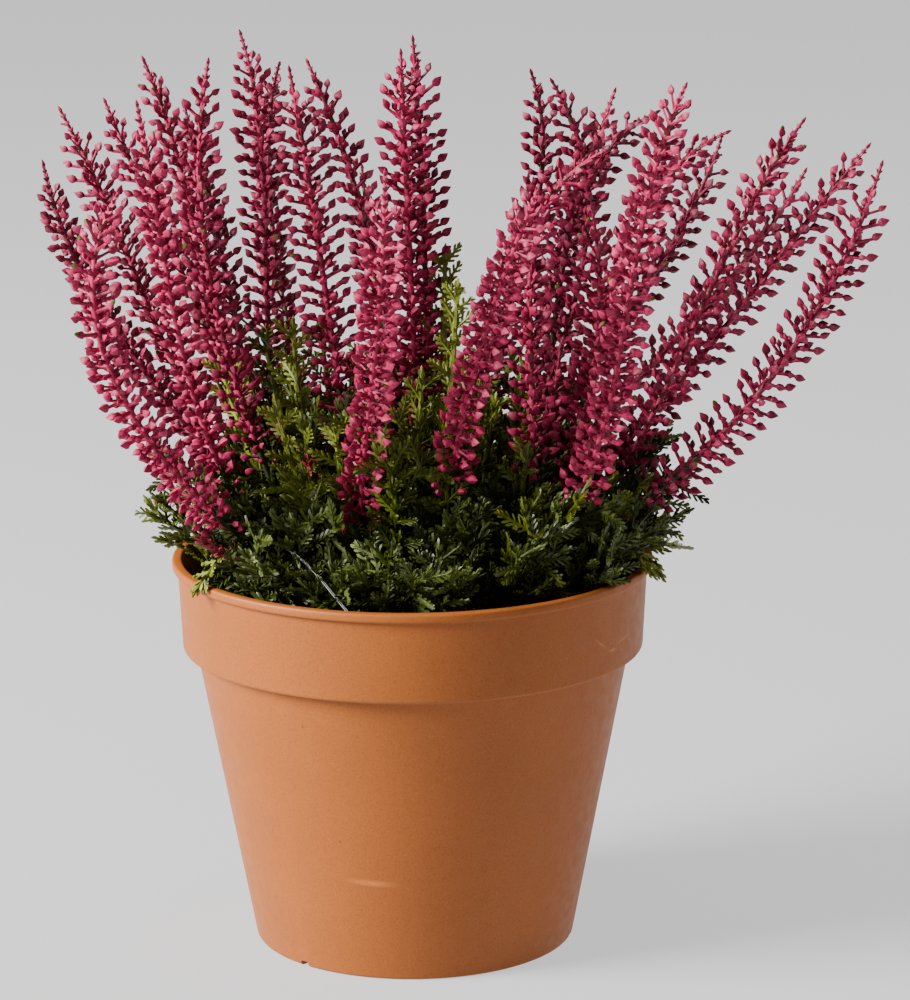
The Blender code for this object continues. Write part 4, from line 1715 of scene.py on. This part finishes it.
    def add_comb(self, root: Vector, axis: Vector, side: Vector, length: float, width: float,
                 tone: Leaf) -> None:
        """Add one comb, where there is room: a rib with a row of blunt, curved needles on each side.

        Args:
            root: where it leaves its shoot.
            axis: unit direction of the rib.
            side: unit direction of its width, square to the rib.
            length: length of the rib.
            width: full width over the needles.
            tone: its tone.
        """
        if not self.leaves_room(root + axis * length, self.comb_margin):
            return
        chance = self.chance
        core = self.in_core(root)
        if core and chance.random() < self.core_share:
            return
        needle = self.plain_needle if core else self.needle
        normal = axis.cross(side)
        arch = chance.uniform(0.05, 0.20) * length
        count = max(int(length / self.needle_step), 3)
        ribs = [root + axis * (length * t) + normal * (arch * t * t) for t in (0.0, 0.5, 1.0)]
        self.ribs[tone].add(ribs, self.rib_radii)
        swarm = self.needles[tone, Half.of(root)]
        depth = self.needle_width * self.needle_depth
        for index in range(count):
            share = (index + 0.6) / count
            point = root + axis * (length * share) + normal * (arch * share * share)
            spread = math.sin(math.pi * min(0.24 + 0.60 * share, 0.93))
            reach = width / 2 * spread / math.sin(math.radians(52))
            for sign in (1, -1):
                lean = mix(60, 38, share) + chance.gauss(0, 4)
                needle_axis = tilted(axis, side * sign, lean)
                needle_axis = tilted(needle_axis, normal, chance.gauss(12, 6)).normalized()
                size = reach * chance.uniform(0.90, 1.08)
                swarm.add(needle, point, needle_axis, square_to(needle_axis, axis), size,
                          self.needle_width, depth)
        swarm.add(needle, ribs[-1] - axis * 0.4 * MM, axis, side, width * 0.40, self.needle_width, depth)

    def add_tuft(self, point: Vector, along: Vector, flat: Vector, tone: Leaf) -> None:
        """Add a rosette of short blunt needles round a tip.

        Args:
            point: the tip.
            along: direction of the stem there.
            flat: any direction square to it.
            tone: its tone.
        """
        chance = self.chance
        beside = along.cross(flat)
        for index in range(self.tuft_needles):
            turn = math.radians(GOLDEN_ANGLE * index)
            outward = flat * math.cos(turn) + beside * math.sin(turn)
            axis = tilted(along, outward, 14 + 5.0 * index + chance.gauss(0, 4))
            foot = point - along * (0.45 * MM * index)
            self.needles[tone, Half.of(point)].add(self.needle, foot, axis, square_to(axis, along),
                                                   self.tuft_length, self.needle_width * 1.15,
                                                   self.needle_width * 0.8)

    def add_scales(self, line: Line, start: float, tone: Leaf) -> None:
        """Clothe a thick stem with short needles that lie close to it.

        Args:
            line: the stem's line.
            start: distance along it of the first needle.
            tone: their tone.
        """
        chance = self.chance
        count = int((line.length - start) / self.scale_step)
        for index in range(count):
            point, along = line.at(start + (line.length - start) * index / count)
            toward = square_to(along, FRONT)
            turn = math.radians(GOLDEN_ANGLE * index)
            outward = toward * math.cos(turn) + along.cross(toward) * math.sin(turn)
            axis = tilted(along, outward, 34 + chance.gauss(0, 6))
            self.needles[tone, Half.of(point)].add(self.needle, point, axis, square_to(axis, along),
                                                   self.scale_length * chance.uniform(0.9, 1.3),
                                                   self.needle_width, self.needle_width * 0.7)

    def add_spray(self, line: Line, start: float, tones: tuple[Leaf, Leaf], radius: float,
                  comb_scale: float, step: float, facing: Vector | None = None,
                  turns: Sequence[float] = (90.0, -90.0)) -> None:
        """Add a spray: combs set in turn round a line, flat to where it is seen from, and a tuft.

        Args:
            line: the line that carries the combs.
            start: distance along it of the first comb.
            tones: tone of the lower combs and of those near the tip.
            radius: radius of the stem at the line's foot.
            comb_scale: factor on the combs' size.
            step: way from one comb to the next.
            facing: direction from which the spray is seen flat, or nothing for its own place's.
            turns: turns of the combs about the line from that direction, in degrees.
        """
        chance = self.chance
        tone, tip_tone = tones
        distance = start
        index = 0
        while distance < line.length - self.spray_end:
            point, along = line.at(distance)
            share = distance / line.length
            view = square_to(along, facing or self.seen_from(point))
            turn = math.radians(turns[index % len(turns)] + chance.gauss(0, 9))
            outward = view * math.cos(turn) + along.cross(view) * math.sin(turn)
            axis = tilted(along, outward, mix(56, 42, share) + chance.gauss(0, 5))
            axis = tilted(axis, square_to(axis, view), chance.gauss(4, 9)).normalized()
            wide = view.cross(axis).normalized()
            wide = tilted(wide, axis.cross(wide), chance.gauss(0, 17)).normalized()
            length = self.comb_length * comb_scale * mix(1.0, 0.5, share ** 2) * chance.uniform(0.88, 1.10)
            shown = tip_tone if chance.random() < ease(0.30, 0.85, share) else tone
            width = self.comb_width * mix(1.0, 0.82, share) * min(1.25 * comb_scale, 1.0)
            self.add_comb(point, axis, wide, length, width, shown)
            distance += step * comb_scale * chance.uniform(0.90, 1.10)
            index += 1
        point, along = line.at(line.length - 1.0 * MM)
        if self.leaves_room(point, self.tuft_margin):
            self.add_tuft(point, along, square_to(along, FRONT), tip_tone)
        count = max(int(line.length / self.stem_step), 3)
        points = [line.at(line.length * index / count)[0] for index in range(count + 1)]
        radii = [mix(radius, self.top_radius, (index / count) ** 1.4) for index in range(count + 1)]
        self.stems[tone].add(points, radii)

    def add_shoot(self, root: Vector, along: Vector, outward: Vector, length: float, lean: float,
                  comb_scale: float, tones: tuple[Leaf, Leaf] | None = None) -> bool:
        """Add a side shoot that leaves its stem at an angle and turns upwards.

        Args:
            root: where it leaves the stem.
            along: direction of the stem there.
            outward: direction away from the stem.
            length: length of the shoot.
            lean: angle between shoot and stem in degrees.
            comb_scale: factor on the combs' size.
            tones: its two tones, or nothing to have them dealt out by its place.

        Returns:
            Whether there was room for it.
        """
        axis = tilted(along, outward, lean)
        points = []
        for step in range(self.shoot_steps + 1):
            share = step / self.shoot_steps
            points.append(root + axis * (length * share) + UP * (length * self.shoot_rise * share ** 2))
        for point in points[3:]:
            if not self.leaves_room(point, self.shoot_margin):
                return False
        dealt = tones or self.tones_at(points[-1])
        if not tones and self.chance.random() < self.blush_share and points[-1].z > self.blush_above:
            dealt = (dealt[0], Leaf.BLUSH)
        self.add_spray(Line(points), self.shoot_start, dealt, self.shoot_radius, comb_scale, self.comb_step)
        return True

    def add_shoots(self, line: Line, shares: Sequence[float], length: float, comb_scale: float,
                   tones: tuple[Leaf, Leaf] | None = None) -> None:
        """Add side shoots in a spiral along a stem, each turned until it has room.

        Args:
            line: the stem's line.
            shares: places of the shoots, as shares of the line.
            length: length of the lowest shoot.
            comb_scale: factor on the combs' size.
            tones: their two tones, or nothing to have them dealt out by place.
        """
        chance = self.chance
        first_turn = chance.uniform(0, 360)
        for index, share in enumerate(shares):
            root, along = line.at(line.length * share)
            toward = square_to(along, FRONT)
            beside = along.cross(toward)
            away = square_to(along, self.seen_from(root))
            for attempt in range(self.tries):
                turn = first_turn + GOLDEN_ANGLE * index + chance.uniform(-30, 30) + attempt * self.try_turn
                turn = math.radians(turn)
                outward = toward * math.cos(turn) + beside * math.sin(turn)
                outward = (outward + away * 0.35).normalized()
                lean = mix(62, 34, share) + chance.gauss(0, 6)
                reach = length * mix(1.0, 0.48, share) * chance.uniform(0.8, 1.1)
                if self.add_shoot(root, along, outward, reach, lean, comb_scale, tones):
                    break

    def grow(self, row: SprigRow, shoots: int, comb_scale: float = 1.0,
             tones: tuple[Leaf, Leaf] | None = None) -> None:
        """Grow one sprig: its stem, its side shoots and the combs at its top.

        Args:
            row: the sprig.
            shoots: number of side shoots.
            comb_scale: factor on the combs' size.
            tones: its two tones, or nothing to have them dealt out by place.
        """
        line = row.line(self.foot_z)
        shares = [mix(0.12, 0.90, (index + 0.5) / shoots) for index in range(shoots)]
        self.add_shoots(line, shares, self.shoot_length * comb_scale, comb_scale, tones)
        radius = self.foot_radius * min(1.25 * comb_scale, 1.0)
        self.add_spray(line, line.length * 0.35, tones or self.tones_at(line.points[-1]), radius, comb_scale,
                       self.comb_step)

    def grow_upright(self, row: SprigRow, tones: tuple[Leaf, Leaf], comb_scale: float) -> None:
        """Grow one upright sprig: a thick stem with two clear rows of combs and a few before and behind.

        Args:
            row: the sprig.
            tones: its two tones.
            comb_scale: factor on the combs' size.
        """
        line = row.line(self.foot_z)
        self.add_shoots(line, (0.16, 0.27, 0.38, 0.48, 0.58), self.shoot_length * 0.8, 0.9)
        self.add_spray(line, line.length * 0.42, (tones[1], tones[1]), self.upright_radius, comb_scale,
                       self.upright_step, FRONT + UP * 0.3, (90.0, -90.0, 90.0, -90.0, 20.0, 200.0))
        self.add_scales(line, line.length * 0.38, tones[1])

    def grow_feet(self) -> None:
        """Clothe the bare foot of each spike with short shoots."""
        for number, line in self.spikes.lines.items():
            bare = line.length - self.spikes.bloom_of(number)
            count = max(int((bare + 8 * MM) / self.foot_step), 2)
            shares = [(5 * MM + (bare + 2 * MM) * index / count) / line.length for index in range(count)]
            self.add_shoots(line, shares, self.foot_shoot, self.foot_scale)

    def grow_rim(self) -> None:
        """Grow the sprigs round the rim, each with two lower ones beside it."""
        chance = self.chance
        for row in self.rows[:self.rim_sprig_count]:
            plan = SprigRow(*row)
            shaded = abs(plan.azimuth - self.shaded_azimuth) < self.shaded_width
            tones = (Leaf.DARK, Leaf.FRESH) if shaded else None
            self.grow(plan, 8, 0.75 if shaded else 1.0, tones)
            for turn in (-13, 11):
                lower = SprigRow(
                    plan.azimuth + turn + chance.uniform(-3, 3), plan.foot_distance - chance.uniform(2, 9),
                    plan.reach - chance.uniform(4, 12), plan.height - chance.uniform(-4, 8), plan.foot_lean,
                    plan.tip_lean * chance.uniform(0.4, 0.9))
                self.grow(lower, 6, 0.85 if shaded else 1.0, tones)

    def grow_inner(self) -> None:
        """Grow the sprigs inside the ring, and the low ones along the front rim."""
        chance = self.chance
        for index in range(self.inner_sprigs):
            distance = 7.0 + 26.0 * math.sqrt((index + 0.5) / self.inner_sprigs)
            inner = SprigRow(GOLDEN_ANGLE * index, distance, distance + chance.uniform(3, 9),
                             chance.uniform(120, 142), 6, 14)
            self.grow(inner, 6)
        for index in range(self.low_sprigs):
            azimuth = mix(*self.low_range, index / (self.low_sprigs - 1)) + chance.uniform(-4, 4)
            low = SprigRow(azimuth, 40, chance.uniform(46, 52), chance.uniform(98, 107), 0, 26)
            if not self.in_hollow(polar(low.azimuth, low.reach * MM, 0)):
                self.grow(low, 3, 0.9)

    def grow_fillers(self) -> None:
        """Grow the sprigs that fill the gaps, those that hang over the rim and the slim ones."""
        for row in self.fillers:
            self.grow(SprigRow(*row), 7)
        # Pale tones on the shaded right side paint light there.
        for index, row in enumerate(self.pale_fillers):
            self.grow(SprigRow(*row), 7, 1.0, (Leaf.FRESH, Leaf.FRESH if index % 3 else Leaf.LIME))
        for row in self.rim_sprigs:
            self.grow(SprigRow(*row), 4, 0.9, (Leaf.COOL, Leaf.COOL))
        for row in self.blush_sprigs:
            self.grow(SprigRow(*row), 0, 0.42, (Leaf.BLUSH, Leaf.BLUSH))
        self.keeps_bare = False
        for row in self.over_rim:
            self.grow(SprigRow(*row), 0, 0.55, (Leaf.FRESH, Leaf.LIME))
        for row in self.slim_sprigs:
            self.grow(SprigRow(*row), 0, 0.42, (Leaf.DARK, Leaf.FRESH))
        self.keeps_bare = True

    def grow_uprights(self) -> None:
        """Grow the upright sprigs among the spikes, light and dark ones."""
        light, dark = (Leaf.FRESH, Leaf.LIME), (Leaf.DARK, Leaf.FRESH)
        plans = [SprigRow(*row) for row in self.rows[self.rim_sprig_count:]]
        for plan, tones, scale in zip(plans, (light, light, dark), (1.25, 1.0, 1.0)):
            self.grow_upright(plan, tones, scale)
        for row in self.light_uprights:
            self.grow_upright(SprigRow(*row), light, 1.12)
        for row in self.dark_uprights:
            self.grow_upright(SprigRow(*row), dark, 1.10)

    def build(self) -> None:
        """Grow all sprigs and build their pieces."""
        self.grow_rim()
        self.grow_inner()
        self.grow_fillers()
        self.grow_uprights()
        self.grow_feet()
        first = None
        for maker in (*self.stems.values(), *self.ribs.values(), *self.needles.values()):
            if isinstance(maker, Rods) and not maker.runs:
                continue
            piece = maker.build()
            first = first or piece
        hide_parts(*[f"foliage_{number:02d}" for number in range(1, len(self.rows) + 1)])


@dataclass
class LooseEnds:
    """Stray ends among the foliage: two clear filaments at the front rim and a bare wire at the left."""

    filament: BareWire = BareWire("clear_filament", (0.060, 0.062, 0.058), 0.0, 0.48)
    wire: BareWire = BareWire("dark_wire", (0.016, 0.020, 0.010), 0.3, 0.45)
    strand_radius: float = 0.14 * MM
    strand_gap: float = 0.15 * MM
    wire_radius: float = 0.32 * MM
    pair_ends: tuple[tuple[float, ...], ...] = ((-33, -36.5, 109.8), (-14.4, -55.6, 96.6))
    single_ends: tuple[tuple[float, ...], ...] = ((-4.6, -37, 107), (-2.9, -51, 98))
    wire_ends: tuple[tuple[float, ...], ...] = ((-49, 22, 159), (-24, 12, 132))

    def build(self) -> None:
        """Lay the filaments and the wire."""
        strands = Rods("clear_filaments", self.filament, fineness=1)
        start, end = (Vector(place) * MM for place in self.pair_ends)
        across = (end - start).cross(UP).normalized()
        for sign in (1, -1):
            points = bent_line(start, end, 92, 122, 18)
            last = len(points) - 1
            strands.add([point + across * (sign * self.strand_gap * (1 + 0.8 * index / last))
                         for index, point in enumerate(points)], [self.strand_radius] * len(points))
        start, end = (Vector(place) * MM for place in self.single_ends)
        points = bent_line(start, end, 105, 135, 12)
        strands.add(points, [self.strand_radius * 0.9] * len(points))
        strands.build()
        bare = Rods("bare_wire", self.wire, fineness=2)
        start, end = (Vector(place) * MM for place in self.wire_ends)
        points = bent_line(start, end, 122, 150, 20)
        bare.add(points, [self.wire_radius] * len(points))
        bare.build()


# Camera, floor and light

@dataclass(frozen=True)
class AreaLight:
    """One soft white lamp of the studio, aimed at the middle of the plant."""

    name: str
    place: tuple[float, float, float]
    size: float
    power: float
    target: tuple[float, float, float] = (0.0, 0.0, 0.12)

    def build(self) -> None:
        """Hang the lamp and aim it."""
        data = bpy.data.lights.new(self.name, "AREA")
        data.shape = "DISK"
        data.size = self.size
        data.energy = self.power
        lamp = bpy.data.objects.new(self.name, data)
        lamp.location = self.place
        away = Vector(self.target) - Vector(self.place)
        lamp.rotation_euler = away.to_track_quat("-Z", "Y").to_euler()
        bpy.context.scene.collection.objects.link(lamp)


@dataclass(frozen=True)
class Studio:
    """The camera at the photograph's place, a pale floor and soft light."""

    image_height: int = 1000
    focal_pixels: float = 4126.3
    sensor: float = 36.0
    camera_place: tuple[float, float, float] = (0.0, -1.0, 0.3492)
    pitch: float = 13.356
    yaw: float = 0.611
    roll: float = -0.2565
    floor_size: float = 12.0
    floor_colour: tuple[float, float, float] = (0.22, 0.22, 0.22)
    floor_glow: float = 0.75
    floor_roughness: float = 0.9
    sky_strength: float = 0.07
    lamps: tuple[AreaLight, ...] = (
        AreaLight("key", (-1.356, -0.44, 0.846), 0.8, 124.0), AreaLight("top", (0.1, 0.15, 1.5), 1.2, 5.0),
        AreaLight("rim", (1.28, 0.23, 0.45), 0.6, 5.0))

    def build_camera(self) -> None:
        """Set up the camera from its pitch, yaw and roll."""
        pitch, yaw, roll = (math.radians(angle) for angle in (self.pitch, self.yaw, self.roll))
        ahead = Vector((math.sin(yaw) * math.cos(pitch), math.cos(yaw) * math.cos(pitch), -math.sin(pitch)))
        level = ahead.cross(UP).normalized()
        above = level.cross(ahead)
        right = level * math.cos(roll) + above * math.sin(roll)
        up = above * math.cos(roll) - level * math.sin(roll)
        data = bpy.data.cameras.new("camera")
        data.sensor_width = self.sensor
        data.lens = self.focal_pixels * self.sensor / self.image_height
        data.clip_start = 0.05
        data.clip_end = 50.0
        camera = bpy.data.objects.new("camera", data)
        turn = Matrix((right, up, -ahead)).transposed().to_4x4()
        camera.matrix_world = Matrix.Translation(self.camera_place) @ turn
        bpy.context.scene.collection.objects.link(camera)
        bpy.context.scene.camera = camera

    def build_floor(self) -> None:
        """Lay the plain pale floor."""
        bm = bmesh.new()
        bmesh.ops.create_grid(bm, x_segments=1, y_segments=1, size=self.floor_size / 2)
        mesh = bpy.data.meshes.new("floor")
        bm.to_mesh(mesh)
        bm.free()
        tree = Tree("floor_paint")
        tree.shader.inputs["Base Color"].default_value = (*self.floor_colour, 1.0)
        tree.shader.inputs["Roughness"].default_value = self.floor_roughness
        tree.shader.inputs["Emission Color"].default_value = (1.0, 1.0, 1.0, 1.0)
        tree.shader.inputs["Emission Strength"].default_value = self.floor_glow
        mesh.materials.append(tree.material)
        floor = bpy.data.objects.new("floor", mesh)
        bpy.context.scene.collection.objects.link(floor)

    def build_light(self) -> None:
        """Hang the lamps and set the soft surrounding light."""
        for lamp in self.lamps:
            lamp.build()
        world = bpy.data.worlds.new("studio")
        world.use_nodes = True
        background = world.node_tree.nodes["Background"]
        background.inputs["Color"].default_value = (1.0, 1.0, 1.0, 1.0)
        background.inputs["Strength"].default_value = self.sky_strength
        bpy.context.scene.world = world

    def build(self) -> None:
        """Set up the whole studio."""
        self.build_camera()
        self.build_floor()
        self.build_light()


def main() -> None:
    """Build the studio and every sub-assembly."""
    logging.basicConfig(level=logging.INFO, format="%(message)s")
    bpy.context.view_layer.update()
    Studio().build()
    pot = Pot()
    pot.build()
    Filler(pot).build()
    stems = WireStems()
    stems.build()
    spikes = Spikes(stems)
    spikes.build()
    Foliage(pot, spikes).build()
    LooseEnds().build()
    bpy.context.view_layer.update()


if __name__ == "__main__":
    main()
